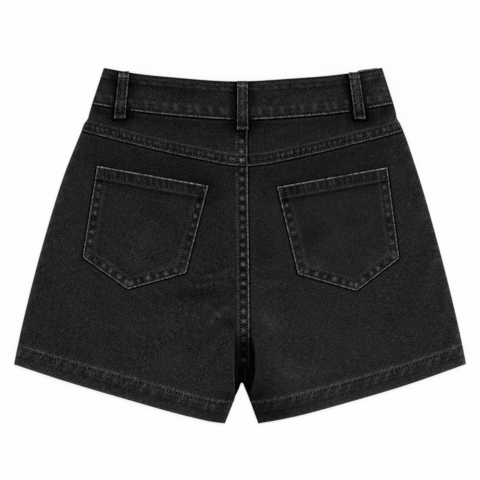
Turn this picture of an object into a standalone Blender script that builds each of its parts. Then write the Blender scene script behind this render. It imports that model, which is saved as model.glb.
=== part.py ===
"""Denim skort that lies flat on a table with its back up.

X runs to the wearer's right, Y towards the waistband and Z up from the table.
Lengths are in millimetres here and become metres as each mesh is made. Every
piece is a cloth wall: an outer and an inner skin of points, closed at its edges.
"""

import math
from collections import namedtuple

import bmesh
import bpy
import numpy as np

METRES = 0.001

# Cloth
CLOTH = 1.0
HEM_EXTRA = 0.8
HEM_DEPTH = 23.0
GAP = 0.35
LEG_GAP = 0.5
LAYER = CLOTH + GAP
BAND = 1.6
LOOP = 1.2

# Seams
YOKE_LAP = 14.0
FELL_LEFT = -4.6
FELL_RIGHT = 9.8
FELL_HIDDEN = -3.0
FRONT_SEAM = 2.3
CROTCH = -150.5
FOLD_LIFT = 3.2
FOLD_REACH = 16.0
FOLD_RUN = 1.8
TURN_UNDER = 1.6
EDGE_ROUND = 1.3
SIDE_TUCK = 2.0
TUCKED_SHARE = 0.042
YOKE_STEP = (YOKE_LAP + 1.5, YOKE_LAP + 9.0)
YOKE_RISE = 0.5
YOKE_RISE_RUN = (-24.0, -10.0)
YOKE_ROWS = (9.0, 17.0)
FOLD_START = (92.0, 132.0)
FOLD_END = (-206.0, -180.0)
LEG_ROWS = (-108.0, -130.0, -170.0, -205.0)
TURNED_ROW = -168.0
INNER_EDGE = 330.0
HEM_STEP = 0.02

# Skirt panel and closure
SKIRT_RAMP = 36.0
SKIRT_INSET = 1.2
FRONT_DROP = 5.0
OVERLAP_START = 128.0
OVERLAP_END = 171.0
OVERLAP_TOP = 222.1
OVERLAP_RAMP = 34.0
OVERLAP_RAISE = (118.0, 146.0)
CLOSURE_RUN = (112.0, 154.0)
WAIST_RUN = (118.0, 158.0)
BUTTON_RADIUS = 8.5
BUTTON_PLACE = (152.0, 197.0)
BUTTON_SIDES = 28
BUTTON_DISH = 0.15
BUTTON_RIM = (3.0, 1.0, 0.4)
BUTTON_RIM_HEIGHT = 0.45

# Pockets and belt loops
POCKET_TURN = (0.12, 0.15)
POCKET_TURN_RISE = 0.4
LOOP_OVER = 0.8
LOOP_LIE = 0.1
LOOP_CREST = 1.0
LOOP_STEP = (7.0, 2.0, 6.0)
LOOP_TOP_RUN = (8.0, 3.0)
LOOP_SIDES = ((-1, 0.3), (-0.86, 0.0), (0.0, 0.0), (0.86, 0.0), (1, 0.3))

# Sampling of the walls
ROLL_ANGLES = tuple(math.radians(angle) for angle in (0, 35, 65, 90))
COLUMNS = 13
ROW_SHARE = 0.1
YOKE_SPACING = 0.3
SKIRT_LAST_ROW = 0.93
BAND_ROWS = (0.0, 0.33, 0.67, 1.0)
TURN_ROWS = (0.35, 0.7, 1.0)
BAND_TURN = tuple(math.radians(angle) for angle in (45, 90, 135))

Side = namedtuple("Side", "y left right")
Edge = namedtuple("Edge", "x y")
Fold = namedtuple("Fold", "y x")
Corners = namedtuple("Corners", "top_out top_in low_in tip low_out")
Loop = namedtuple("Loop", "name top_x top_width low_x low_width low_y")
Row = namedtuple("Row", "v rolls")

SIDES = (
    Side(221.8, -170.4, 177.0),
    Side(184.5, -182.6, 188.9),
    Side(164.5, -188.6, 194.5),
    Side(158.5, -190.3, 195.6),
    Side(152.0, -194.8, 199.5),
    Side(144.5, -197.7, 202.9),
    Side(94.5, -217.6, 220.6),
    Side(14.5, -242.8, 243.9),
    Side(-65.5, -264.1, 264.5),
    Side(-118.0, -276.3, 276.4),
    Side(-147.0, -282.0, 282.0),
)
WAIST_TOP = (
    Edge(-170.4, 222.0),
    Edge(-137.7, 216.0),
    Edge(-77.7, 209.5),
    Edge(-5.0, 205.0),
    Edge(62.0, 208.4),
    Edge(132.0, 214.4),
    Edge(177.0, 221.8),
)
WAIST_LOW = (
    Edge(-185.2, 177.4),
    Edge(-140.6, 170.0),
    Edge(-70.0, 162.3),
    Edge(1.7, 158.3),
    Edge(70.0, 161.0),
    Edge(139.4, 167.4),
    Edge(191.2, 177.8),
)
YOKE_LOW = (
    Edge(-198.2, 143.5),
    Edge(-145.9, 129.3),
    Edge(-59.2, 109.0),
    Edge(2.0, 98.4),
    Edge(80.6, 110.4),
    Edge(145.2, 128.3),
    Edge(203.8, 143.6),
)
HEM_LEFT = (
    Edge(-282.0, -148.3),
    Edge(-221.4, -168.3),
    Edge(-141.4, -192.2),
    Edge(-61.4, -214.2),
    Edge(-36.0, -219.9),
    Edge(-19.0, -222.1),
)
HEM_RIGHT = (
    Edge(22.6, -222.1),
    Edge(38.0, -219.6),
    Edge(58.6, -215.7),
    Edge(138.6, -194.7),
    Edge(218.6, -170.4),
    Edge(282.0, -147.9),
)
LEG_FOLD_LEFT = (
    Fold(170.0, -6.8),
    Fold(-150.5, -6.8),
    Fold(-187.6, -5.8),
    Fold(-193.0, -7.4),
    Fold(-222.1, -19.0),
)
LEG_FOLD_RIGHT = (
    Fold(170.0, 12.0),
    Fold(-96.0, 12.0),
    Fold(-112.0, 13.4),
    Fold(-133.0, 17.0),
    Fold(-158.0, 17.2),
    Fold(-172.0, 14.4),
    Fold(-187.0, 9.6),
    Fold(-192.0, 11.4),
    Fold(-222.1, 22.6),
)
SEAT_LEAN = (
    Fold(145.0, -1.0),
    Fold(110.0, -0.9),
    Fold(30.0, 0.1),
    Fold(-30.0, 1.0),
    Fold(-90.0, 1.5),
    Fold(-151.0, 1.6),
)
CROTCH_ARCH = (
    Edge(-5.8, -187.6),
    Edge(-3.4, -183.0),
    Edge(-1.2, -178.0),
    Edge(0.3, -173.6),
    Edge(1.2, -171.6),
    Edge(3.2, -171.6),
    Edge(4.2, -173.8),
    Edge(5.8, -178.0),
    Edge(7.9, -183.0),
    Edge(9.6, -187.0),
)
SKIRT_HEM = (
    Edge(-282.0, -146.5),
    Edge(-150.0, -157.0),
    Edge(0.0, -165.0),
    Edge(120.0, -163.0),
    Edge(225.0, -156.0),
)
SKIRT_EDGE = (
    Fold(176.0, 132.0),
    Fold(90.0, 152.0),
    Fold(-60.0, 186.0),
    Fold(-132.0, 201.0),
    Fold(-156.0, 192.0),
)
POCKETS = {
    "left": Corners((-178.3, 99.6), (-41.1, 75.0), (-69.2, -34.3), (-139.6, -53.9), (-196.4, -13.8)),
    "right": Corners((183.7, 97.9), (47.7, 73.5), (73.7, -35.8), (145.6, -56.3), (198.6, -16.1)),
}
BACK_LOOPS = (
    Loop("loop_back_left", -144.4, 12.8, -150.3, 14.2, 160.0),
    Loop("loop_back_centre", 3.0, 13.0, 3.1, 14.2, 145.2),
    Loop("loop_back_right", 141.4, 12.6, 148.6, 13.8, 158.8),
)
FRONT_LOOPS = (
    Loop("loop_front_left", -96.0, 13.4, -98.0, 13.4, 158.0),
    Loop("loop_front_right", 92.0, 13.4, 94.0, 13.4, 158.0),
)


def smooth(keys, values, at):
    """Read the smooth curve through the rows of a table at one place."""
    order = np.argsort(keys)
    keys = np.array(keys, dtype=float)[order]
    values = np.array(values, dtype=float)[order]
    slopes = np.gradient(values, keys)
    row = int(np.clip(np.searchsorted(keys, at) - 1, 0, len(keys) - 2))
    span = keys[row + 1] - keys[row]
    t = float(np.clip((at - keys[row]) / span, 0, 1))
    bend = t * t * (3 - 2 * t)
    swing = span * t * (1 - t) * ((1 - t) * slopes[row] - t * slopes[row + 1])
    return float((1 - bend) * values[row] + bend * values[row + 1] + swing)


def edge_y(rows, x):
    """Height up the garment of an edge that runs across it."""
    return smooth([row.x for row in rows], [row.y for row in rows], x)


def straight_x(rows, y):
    """Place across the garment of an edge made of straight runs down it."""
    rows = sorted(rows, key=lambda row: row.y)
    return float(np.interp(y, [row.y for row in rows], [row.x for row in rows]))


def side_x(side, y):
    """Outer edge of the legs at one height."""
    return smooth([row.y for row in SIDES], [getattr(row, side) for row in SIDES], y)


def ease(value, low, high):
    """Rise softly from 0 at low to 1 at high."""
    t = min(max((value - low) / (high - low), 0.0), 1.0)
    return t * t * (3 - 2 * t)


def blend(start, end, share):
    """Mix two values."""
    return start + (end - start) * share


# Heights of the stacked layers above the table


def hem_y(x):
    """Lower edge of the leg at one place across."""
    rows = HEM_LEFT if x < FRONT_SEAM else HEM_RIGHT
    return edge_y(rows, x)


def hem_share(x, y):
    """1 inside the turned hem, 0 above it."""
    return 1 - ease(y - hem_y(x), HEM_DEPTH - 4, HEM_DEPTH + 3)


def skirt_x(y):
    """Free edge of the skirt panel."""
    return straight_x(SKIRT_EDGE, y)


def floor_z(x, y):
    """Underside of the leg fronts, which lie on the skirt panel or run down to the table."""
    over = ease(y - edge_y(SKIRT_HEM, x), -SKIRT_RAMP, -1)
    over *= ease(skirt_x(y) - x, -SKIRT_RAMP, -1)
    over = max(over, ease(y, *WAIST_RUN))
    return LAYER * over + closure_lift(x, y)


def closure_lift(x, y):
    """Rise of the cloth over the two ends of the waistband where they overlap."""
    return band_lift(x) * ease(y, *CLOSURE_RUN)


def band_lift(x):
    """Rise of the back waistband over the overlapped ends."""
    return (BAND + GAP) * ease(x, OVERLAP_START - OVERLAP_RAMP, OVERLAP_START - 2)


def front_inner(x, y):
    """Inside face of the leg fronts."""
    return floor_z(x, y) + CLOTH + HEM_EXTRA * hem_share(x, y)


def inseam_z(x, y):
    """Height at which the front and back of a leg meet along its rolled edges."""
    return front_inner(x, y) + LEG_GAP / 2


def fold_share(side, x, y):
    """Share of the soft roll that each leg makes beside the crotch."""
    rows = LEG_FOLD_LEFT if side == "left" else LEG_FOLD_RIGHT
    away = x - straight_x(rows, y)
    if side == "left":
        away = -away
    along = ease(y, *FOLD_END) * ease(-y, *FOLD_START)
    if away < 0:
        return along * (1 - ease(-away, 0, FOLD_RUN))
    return along * math.exp(-((away / FOLD_REACH) ** 2))


def back_outer(side, x, y):
    """Outside face of a leg back, with its roll by the crotch and its seat seam."""
    level = front_inner(x, y) + LEG_GAP + CLOTH + HEM_EXTRA * hem_share(x, y)
    level += FOLD_LIFT * fold_share(side, x, y)
    if side == "left":
        level += LAYER * ease(x, LEG_FOLD_LEFT[0].x, FELL_LEFT)
    return level


def back_wall(x, y):
    """Thickness of a leg back."""
    return CLOTH + HEM_EXTRA * hem_share(x, y)


def yoke_outer(side, x, y):
    """Outside face of a yoke, which laps over the leg back below it."""
    above = y - edge_y(YOKE_LOW, x)
    level = front_inner(x, y) + LEG_GAP + CLOTH
    level += LAYER * (1 - ease(above, *YOKE_STEP))
    level += YOKE_RISE * ease(y - edge_y(WAIST_LOW, x), *YOKE_RISE_RUN)
    if side == "left":
        level += LAYER * ease(x, LEG_FOLD_LEFT[0].x, FELL_LEFT)
    return level


def fell_x(y):
    """Folded edge of the left half where it laps over the right one along the seat."""
    return FELL_RIGHT + straight_x(SEAT_LEAN, y)


# Wall building


class Wall:
    """Two matching skins of points that close into one cloth wall."""

    def __init__(self):
        self.outer = []
        self.inner = []
        self.quads = []

    def point(self, outer, inner):
        """Add one matching pair of points and return its number."""
        self.outer.append(tuple(outer))
        self.inner.append(tuple(inner))
        return len(self.outer) - 1

    def knit(self, rows):
        """Join rows of point numbers into faces."""
        for upper, lower in zip(rows, rows[1:]):
            for i in range(min(len(upper), len(lower)) - 1):
                self.quads.append((upper[i], upper[i + 1], lower[i + 1], lower[i]))

    def build(self, name, material):
        """Close the rim and make the named object."""
        count = len(self.outer)
        used = {}
        for quad in self.quads:
            for a, b in zip(quad, quad[1:] + quad[:1]):
                key = (min(a, b), max(a, b))
                used[key] = used.get(key, 0) + 1
        faces = list(self.quads)
        faces += [tuple(i + count for i in reversed(quad)) for quad in self.quads]
        faces += [(a, b, b + count, a + count) for (a, b), times in used.items() if times == 1]
        return solid(name, self.outer + self.inner, faces, material)


def solid(name, points, faces, material):
    """Make a closed object from points in millimetres."""
    form = bmesh.new()
    corners = [form.verts.new([value * METRES for value in point]) for point in points]
    for face in faces:
        form.faces.new([corners[i] for i in face])
    loose = [corner for corner in form.verts if not corner.link_faces]
    bmesh.ops.delete(form, geom=loose, context="VERTS")
    bmesh.ops.triangulate(form, faces=form.faces[:])
    bmesh.ops.recalc_face_normals(form, faces=form.faces[:])
    mesh = bpy.data.meshes.new(name)
    form.to_mesh(mesh)
    form.free()
    mesh.shade_smooth()
    mesh.set_sharp_from_angle(angle=math.radians(40))
    mesh.materials.append(material)
    piece = bpy.data.objects.new(name, mesh)
    bpy.context.scene.collection.objects.link(piece)
    return piece


def run(points):
    """Edge through the points, read from 0 at its start to 1 at its end."""
    places = np.array(points, dtype=float)
    steps = np.hypot(*np.diff(places, axis=0).T)
    share = np.concatenate(([0.0], np.cumsum(steps))) / steps.sum()

    def at(t):
        return np.array([np.interp(t, share, places[:, 0]), np.interp(t, share, places[:, 1])])

    return at


def patch(top, low, start, end):
    """Blend four edges into one plan: start to end across, top to low down."""
    corners = (start(0), end(0), start(1), end(1))

    def at(u, v):
        ruled = blend(top(u), low(u), v) + blend(start(v), end(v), u)
        return ruled - blend(blend(corners[0], corners[1], u), blend(corners[2], corners[3], u), v)

    return at


def section(plan, v, rolls):
    """Places across one row: outer plan point, inner plan point and share of full height."""
    width = float(np.linalg.norm(plan(1, v) - plan(0, v)))
    places = []
    for end, roll in enumerate(rolls):
        group = []
        for angle in ROLL_ANGLES:
            outer = EDGE_ROUND * (1 - math.cos(angle))
            inner = blend(outer, EDGE_ROUND - (EDGE_ROUND - CLOTH) * math.cos(angle), roll)
            height = 1 - roll * (1 - math.sin(angle))
            shares = (outer / width, inner / width)
            if end == 1:
                shares = (1 - shares[0], 1 - shares[1])
            group.append((plan(shares[0], v), plan(shares[1], v), height))
        places.append(group)
    middle = []
    reach = EDGE_ROUND / width
    for u in np.linspace(reach, 1 - reach, COLUMNS)[1:-1]:
        middle.append((plan(u, v), plan(u, v), 1.0))
    return places[0] + middle + places[1][::-1]


def sheet_rows(wall, plan, rows, faces):
    """Add a panel to a wall: faces gives the outer, inner and seam heights of a place."""
    numbers = []
    for row in rows:
        line = []
        for outer_place, inner_place, share in section(plan, row.v, row.rolls):
            heights = []
            for place, face in ((outer_place, 0), (inner_place, 1)):
                levels = faces(*place)
                heights.append(blend(levels[2], levels[face], share))
            line.append(wall.point((*outer_place, heights[0]), (*inner_place, heights[1])))
        numbers.append(line)
    wall.knit(numbers)
    return numbers


def share_down(edge, y):
    """Share of an edge's length at which it reaches a height."""
    samples = np.linspace(0, 1, 2001)
    heights = [edge(t)[1] for t in samples]
    return float(np.interp(-y, [-height for height in heights], samples))


def spread(marks, step):
    """Fill between marked shares so that no gap is larger than step."""
    filled = [marks[0]]
    for low, high in zip(marks, marks[1:]):
        count = max(1, math.ceil((high - low) / step))
        filled += [low + (high - low) * (i + 1) / count for i in range(count)]
    return filled


def side_run(side, first, last, tuck_y=None):
    """Outer edge of a panel between two corners, tucked in above tuck_y under the next panel."""
    inward = 1 if side == "left" else -1
    points = [tuple(first)]
    for y in np.linspace(first[1], last[1], 44)[1:-1]:
        tuck = SIDE_TUCK * ease(y, tuck_y - 5, tuck_y - 0.5) if tuck_y else 0
        points.append((side_x(side, y) + inward * tuck, y))
    return run(points + [tuple(last)])


def fold_run(rows, top):
    """Inner edge of a panel: down the seat and then along the inside of the leg."""
    points = [(straight_x(rows, top), top)]
    points += [(row.x, row.y) for row in rows if row.y < top]
    return run(points)


def cross_run(rows, start_x, end_x, shift):
    """Edge that runs across a panel, moved up the garment by shift."""
    return run([(x, edge_y(rows, x) + shift) for x in np.linspace(start_x, end_x, 30)])


def leg_rows(end, start_y, attach_low, edge_marks):
    """Rows of a leg panel, rolled at its outer edge and along the inside of the leg."""
    hem = 1 - HEM_DEPTH / INNER_EDGE
    marks = {0.0, 1.0, hem, hem - HEM_STEP}
    marks |= {share_down(end, y) for y in edge_marks if y < start_y}
    limit = share_down(end, attach_low)
    rows = []
    for v in spread(sorted(marks), ROW_SHARE):
        rows.append(Row(v, (1.0, 0.0 if v < limit + 1e-6 else 1.0)))
    return rows


def fell(wall, numbers, rows, plan, xs, faces, first_y, last_y):
    """Carry a panel on past its inner edge as a strip along the seam."""
    lines = []
    for line, row in zip(numbers, rows):
        x, y = plan(1, row.v)
        if y > first_y + 1e-3 or y < last_y - 1e-3:
            continue
        strip = [line[-1]]
        for place in xs(y):
            outer, inner, _ = faces(place, y)
            strip.append(wall.point((place, y, outer), (place, y, inner)))
        lines.append(strip)
    wall.knit(lines)


def back(side, denim):
    """Back of one leg, from under the yoke to the turned hem."""
    left = side == "left"
    folds = LEG_FOLD_LEFT if left else LEG_FOLD_RIGHT
    hem = HEM_LEFT if left else HEM_RIGHT
    seam_x = folds[0].x
    yoke_side = YOKE_LOW[0 if left else -1]
    tucked = yoke_side.x * (1 - TUCKED_SHARE)
    top = cross_run(YOKE_LOW, tucked, seam_x, YOKE_LAP)
    low = cross_run(hem, hem[0 if left else -1].x, hem[-1 if left else 0].x, 0)
    start = side_run(side, top(0), low(0), yoke_side.y)
    end = fold_run(folds, float(top(1)[1]))
    plan = patch(top, low, start, end)
    yoke_y = min(edge_y(YOKE_LOW, rows[0].x) for rows in (LEG_FOLD_LEFT, LEG_FOLD_RIGHT)) - GAP
    arch = folds[-3].y
    marks = (yoke_y, CROTCH, CROTCH - 0.4, arch) + LEG_ROWS
    rows = leg_rows(end, float(top(1)[1]), CROTCH, marks)

    def faces(x, y):
        outer = back_outer(side, x, y)
        seam = inseam_z(x, y) + GAP / 2
        crotch = front_inner(x, y) + LEG_GAP + LAYER
        near = abs(x - straight_x(folds, y)) < FOLD_REACH and y > arch - 1
        return outer, outer - back_wall(x, y), crotch if near else seam

    def strip_x(y):
        if left:
            return (FELL_LEFT, FRONT_SEAM, fell_x(y))
        return (straight_x(folds, y) - FOLD_RUN, FELL_RIGHT, FRONT_SEAM, FELL_HIDDEN)

    wall = Wall()
    numbers = sheet_rows(wall, plan, rows, faces)
    fell(wall, numbers, rows, plan, strip_x, faces, yoke_y, CROTCH)
    return wall.build(f"back_{side}", denim)


def yoke(side, denim):
    """Yoke between the waistband and one leg back."""
    left = side == "left"
    seam_x = (LEG_FOLD_LEFT if left else LEG_FOLD_RIGHT)[0].x
    waist_end = WAIST_LOW[0 if left else -1].x
    low_end = YOKE_LOW[0 if left else -1].x
    top = cross_run(WAIST_LOW, waist_end, seam_x, -GAP * 1.3)
    low = cross_run(YOKE_LOW, low_end, seam_x, 0)
    start = side_run(side, top(0), low(0))
    end = run([tuple(top(1)), tuple(low(1))])
    plan = patch(top, low, start, end)
    depth = float(top(1)[1] - low(1)[1])
    above = [row / depth for row in YOKE_ROWS]
    below = [1 - step / depth for step in reversed(YOKE_STEP)]
    rows = [Row(v, (1.0, 0.0)) for v in spread((0.0, *above, *below, 1.0), YOKE_SPACING)]

    def faces(x, y):
        outer = yoke_outer(side, x, y)
        return outer, outer - CLOTH, inseam_z(x, y) + GAP / 2

    def strip_x(y):
        if left:
            return (FELL_LEFT, FRONT_SEAM, fell_x(y))
        return (FELL_RIGHT, FRONT_SEAM, FELL_HIDDEN)

    wall = Wall()
    numbers = sheet_rows(wall, plan, rows, faces)
    fell(wall, numbers, rows, plan, strip_x, faces, float(top(1)[1]) + 1, float(low(1)[1]) - 1)
    return wall.build(f"yoke_{side}", denim)


def front_waist(x):
    """Lower edge of the front waistband, a little lower than the back one."""
    middle = 1 - (x / WAIST_LOW[-1].x) ** 2
    return edge_y(WAIST_LOW, x) - FRONT_DROP * max(middle, 0)


def front(side, denim):
    """Plain front of one leg, whose crotch end turns up to meet the seat."""
    left = side == "left"
    folds = LEG_FOLD_LEFT if left else LEG_FOLD_RIGHT
    hem = HEM_LEFT if left else HEM_RIGHT
    seam_x = folds[0].x
    waist_end = WAIST_LOW[0 if left else -1].x
    top = run([(x, front_waist(x) - GAP * 1.3) for x in np.linspace(waist_end, seam_x, 30)])
    low = cross_run(hem, hem[0 if left else -1].x, hem[-1 if left else 0].x, 0)
    start = side_run(side, top(0), low(0))
    end = fold_run(folds, float(top(1)[1]))
    plan = patch(top, low, start, end)
    arch = folds[-3].y
    marks = (CROTCH, TURNED_ROW, arch + EDGE_ROUND, arch, LEG_ROWS[-1])
    rows = leg_rows(end, float(top(1)[1]), arch + 0.5, marks)

    def faces(x, y):
        return floor_z(x, y), front_inner(x, y), inseam_z(x, y) - GAP / 2

    wall = Wall()
    numbers = sheet_rows(wall, plan, rows, faces)
    crotch_turn(wall, numbers, rows, plan, side, arch, faces)
    return wall.build(f"front_{side}", denim)


def crotch_turn(wall, numbers, rows, plan, side, arch, faces):
    """Centre of a front: down the seam, round the crotch fold and up to the seat seam."""
    left = side == "left"
    seam = FRONT_SEAM - GAP / 2 if left else FRONT_SEAM + GAP / 2
    lines = []
    for line, row in zip(numbers, rows):
        x, y = plan(1, row.v)
        if y < arch - 1e-3:
            continue
        down = max((CROTCH - y) / (CROTCH - arch), 0)
        strip = [line[-1]]
        for share in TURN_ROWS:
            place = blend(x, seam, share)
            reach = blend(CROTCH, float(edge_run_y(place)), down) if y < CROTCH else y
            outer, inner, turn = faces(place, reach)
            if abs(y - arch) < 1e-3:
                inner_y = reach + CLOTH
                strip.append(wall.point((place, reach, turn), (place, inner_y, turn)))
            else:
                strip.append(wall.point((place, reach, outer), (place, reach, inner)))
        lines.append(strip)
    folds = LEG_FOLD_LEFT if left else LEG_FOLD_RIGHT
    fold_x = straight_x(folds, arch)
    outward = -TURN_UNDER if left else TURN_UNDER
    for angle in ROLL_ANGLES[1:]:
        outer_in = EDGE_ROUND * (1 - math.cos(angle))
        inner_in = EDGE_ROUND - (EDGE_ROUND - CLOTH) * math.cos(angle)
        strip = []
        for share in (0.0, *TURN_ROWS):
            place = blend(fold_x, seam, share)
            base = float(edge_run_y(place))
            strip.append(turned_point(wall, place, base + outer_in, base + inner_in, math.sin(angle)))
        lines.append(strip)
    for climb in TURN_ROWS:
        strip = []
        for share in (0.0, *TURN_ROWS):
            base = float(edge_run_y(blend(fold_x, seam, share))) + EDGE_ROUND
            y = blend(base, CROTCH - GAP, climb)
            place = blend(straight_x(folds, y) + outward, seam, share)
            strip.append(turned_point(wall, place, y, y, 1.0))
        lines.append(strip)
    wall.knit(lines)


def edge_run_y(x):
    """Height of the crotch fold, an arch of straight runs between the legs."""
    return np.interp(x, [row.x for row in CROTCH_ARCH], [row.y for row in CROTCH_ARCH])


def turned_point(wall, x, outer_y, inner_y, share):
    """Point on the part of a front that has turned up over itself."""
    level = front_inner(x, outer_y)
    seam = inseam_z(x, outer_y) - GAP / 2
    outer = blend(seam, level + LEG_GAP + CLOTH, share)
    inner = blend(seam, level + LEG_GAP, share)
    return wall.point((x, outer_y, outer), (x, inner_y, inner))


def skirt(denim):
    """Plain skirt panel over the fronts, sewn at the waist and the wearer's left side."""
    top_ends = (WAIST_LOW[0].x + SKIRT_INSET, SKIRT_EDGE[0].x)
    top = run([(x, front_waist(x) - GAP) for x in np.linspace(*top_ends, 30)])
    low = cross_run(SKIRT_HEM, SKIRT_HEM[0].x + SKIRT_INSET, SKIRT_EDGE[-1].x, 0)
    heights = np.linspace(float(top(0)[1]), float(low(0)[1]), 30)
    start = run([(side_x("left", y) + SKIRT_INSET, y) for y in heights])
    corners = [(row.x, row.y) for row in SKIRT_EDGE[1:-1]]
    end = run([tuple(top(1))] + corners + [tuple(low(1))])
    plan = patch(top, low, start, end)
    wall = Wall()
    lines = []
    for v in spread((0.0, SKIRT_LAST_ROW, 1.0), ROW_SHARE):
        line = []
        for u in np.linspace(0, 1, COLUMNS):
            x, y = plan(u, v)
            line.append(wall.point((x, y, 0.0), (x, y, CLOTH)))
        lines.append(line)
    wall.knit(lines)
    return wall.build("skirt_panel", denim)


def pocket(side, denim):
    """Patch pocket on a leg back, with its turned top."""
    corners = POCKETS[side]
    top = run([corners.top_out, corners.top_in])
    low = run([corners.low_out, corners.tip, corners.low_in])
    start = run([corners.top_out, corners.low_out])
    end = run([corners.top_in, corners.low_in])
    plan = patch(top, low, start, end)
    tip = float(np.linalg.norm(np.subtract(corners.tip, corners.low_out)))
    length = tip + float(np.linalg.norm(np.subtract(corners.low_in, corners.tip)))
    wall = Wall()
    lines = []
    for v in spread((0.0, *POCKET_TURN, 1.0), POCKET_TURN[0]):
        line = []
        for u in spread((0.0, tip / length, 1.0), 0.1):
            x, y = plan(u, v)
            base = back_outer(side, x, y) + GAP
            turned = POCKET_TURN_RISE * (1 - ease(v, *POCKET_TURN))
            line.append(wall.point((x, y, base + CLOTH + turned), (x, y, base)))
        lines.append(line)
    wall.knit(lines)
    return wall.build(f"back_pocket_{side}", denim)


def band_edges(share):
    """Top and lower edge of the waistband at a share across the back, 0 at the left."""
    tops = (WAIST_TOP[0].x, WAIST_TOP[-1].x)
    lows = (WAIST_LOW[0].x, WAIST_LOW[-1].x)
    return blend(*tops, share), blend(*lows, share)


def waistband(denim):
    """Waistband in one length: under the closure, round the back and over the closure."""
    turn = BAND + GAP / 2
    start = share_of_waist(OVERLAP_START)
    finish = share_of_waist(OVERLAP_END)
    round_in = turn / (WAIST_TOP[-1].x - WAIST_TOP[0].x)
    stations = []
    for share in np.linspace(start, 1 - round_in, 4):
        stations.append(("under", share, 0.0))
    for angle in BAND_TURN:
        stations.append(("turn_right", 1 - round_in, angle))
    for share in np.linspace(1 - round_in, round_in, 31):
        stations.append(("back", share, 0.0))
    for angle in BAND_TURN:
        stations.append(("turn_left", round_in, angle))
    for share in np.linspace(round_in, finish, 27):
        stations.append(("over", share, 0.0))
    wall = Wall()
    lines = []
    for kind, share, angle in stations:
        lines.append([band_point(wall, kind, share, angle, down) for down in BAND_ROWS])
    wall.knit(lines)
    return wall.build("waistband", denim)


def share_of_waist(x):
    """Share across the waistband's top edge at one place."""
    return (x - WAIST_TOP[0].x) / (WAIST_TOP[-1].x - WAIST_TOP[0].x)


def band_point(wall, kind, share, angle, down):
    """Point of the waistband; kind names the stretch that it is on."""
    top_x, low_x = band_edges(share)
    x = blend(top_x, low_x, down)
    y = blend(edge_y(WAIST_TOP, top_x), edge_y(WAIST_LOW, low_x), down)
    dip = FRONT_DROP * max(1 - (low_x / WAIST_LOW[-1].x) ** 2, 0)
    back_z = LAYER + 2 * BAND + GAP
    if kind == "back":
        outer = back_z + band_lift(x)
        return wall.point((x, y, outer), (x, y, outer - BAND))
    if kind == "over":
        raised = ease(x, *OVERLAP_RAISE) * (1 - down)
        y = blend(y - dip, OVERLAP_TOP, raised) if down == 0 else y - dip
        return wall.point((x, y, LAYER), (x, y, LAYER + BAND))
    if kind == "under":
        outer = LAYER + BAND + GAP
        return wall.point((x, y - dip, outer), (x, y - dip, outer + BAND))
    radius = BAND + GAP / 2
    centre = LAYER + radius + (band_lift(x) if kind == "turn_right" else 0)
    rise = -math.cos(angle) if kind == "turn_right" else math.cos(angle)
    side = 1 if kind == "turn_right" else -1
    reach = math.sin(angle)
    outer = (x + side * radius * reach, y, centre + radius * rise)
    inner = (x + side * GAP / 2 * reach, y, centre + GAP / 2 * rise)
    return wall.point(outer, inner)


def back_loop(loop, denim):
    """Belt loop on the back: it arches over the waistband and ends on the yoke."""
    edge = edge_y(WAIST_LOW, loop.low_x)
    side = "left" if loop.low_x < FELL_RIGHT else "right"
    top_y = edge_y(WAIST_TOP, loop.top_x) + LOOP_OVER
    foot = yoke_outer(side, loop.low_x, loop.low_y)
    crown = LAYER + 2 * BAND + GAP + band_lift(loop.top_x)
    heights = [
        (loop.low_y, foot + LOOP_LIE),
        (edge - LOOP_STEP[0], yoke_outer(side, loop.low_x, edge - LOOP_STEP[0] + 1) + LOOP_LIE),
        (edge - LOOP_STEP[1], max(yoke_outer(side, loop.low_x, edge - 1), crown) + LOOP_LIE),
        (edge + LOOP_STEP[2], crown + LOOP_CREST / 2),
        (blend(edge, top_y, 0.5), crown + LOOP_CREST),
        (top_y - LOOP_TOP_RUN[0], crown + LOOP_CREST * 0.4),
        (top_y - LOOP_TOP_RUN[1], crown),
        (top_y, crown),
    ]
    wall = Wall()
    lines = []
    for y, level in heights:
        share = (y - loop.low_y) / (top_y - loop.low_y)
        middle = blend(loop.low_x, loop.top_x, share)
        half = blend(loop.low_width, loop.top_width, share) / 2
        line = []
        for across, drop in LOOP_SIDES:
            x = middle + across * half
            line.append(wall.point((x, y, level + GAP + LOOP - drop), (x, y, level + GAP)))
        lines.append(line)
    wall.knit(lines)
    return wall.build(loop.name, denim)


def front_loop(loop, denim):
    """Belt loop pressed flat between the front waistband and the table."""
    top_y = edge_y(WAIST_TOP, loop.top_x) - FRONT_DROP
    wall = Wall()
    lines = []
    for share in (0.0, 0.5, 1.0):
        line = []
        for across in (-0.5, 0.5):
            x = blend(loop.top_x, loop.low_x, share) + across * loop.top_width
            y = blend(top_y, front_waist(x) + GAP, share)
            line.append(wall.point((x, y, 0.0), (x, y, CLOTH)))
        lines.append(line)
    wall.knit(lines)
    return wall.build(loop.name, denim)


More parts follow.
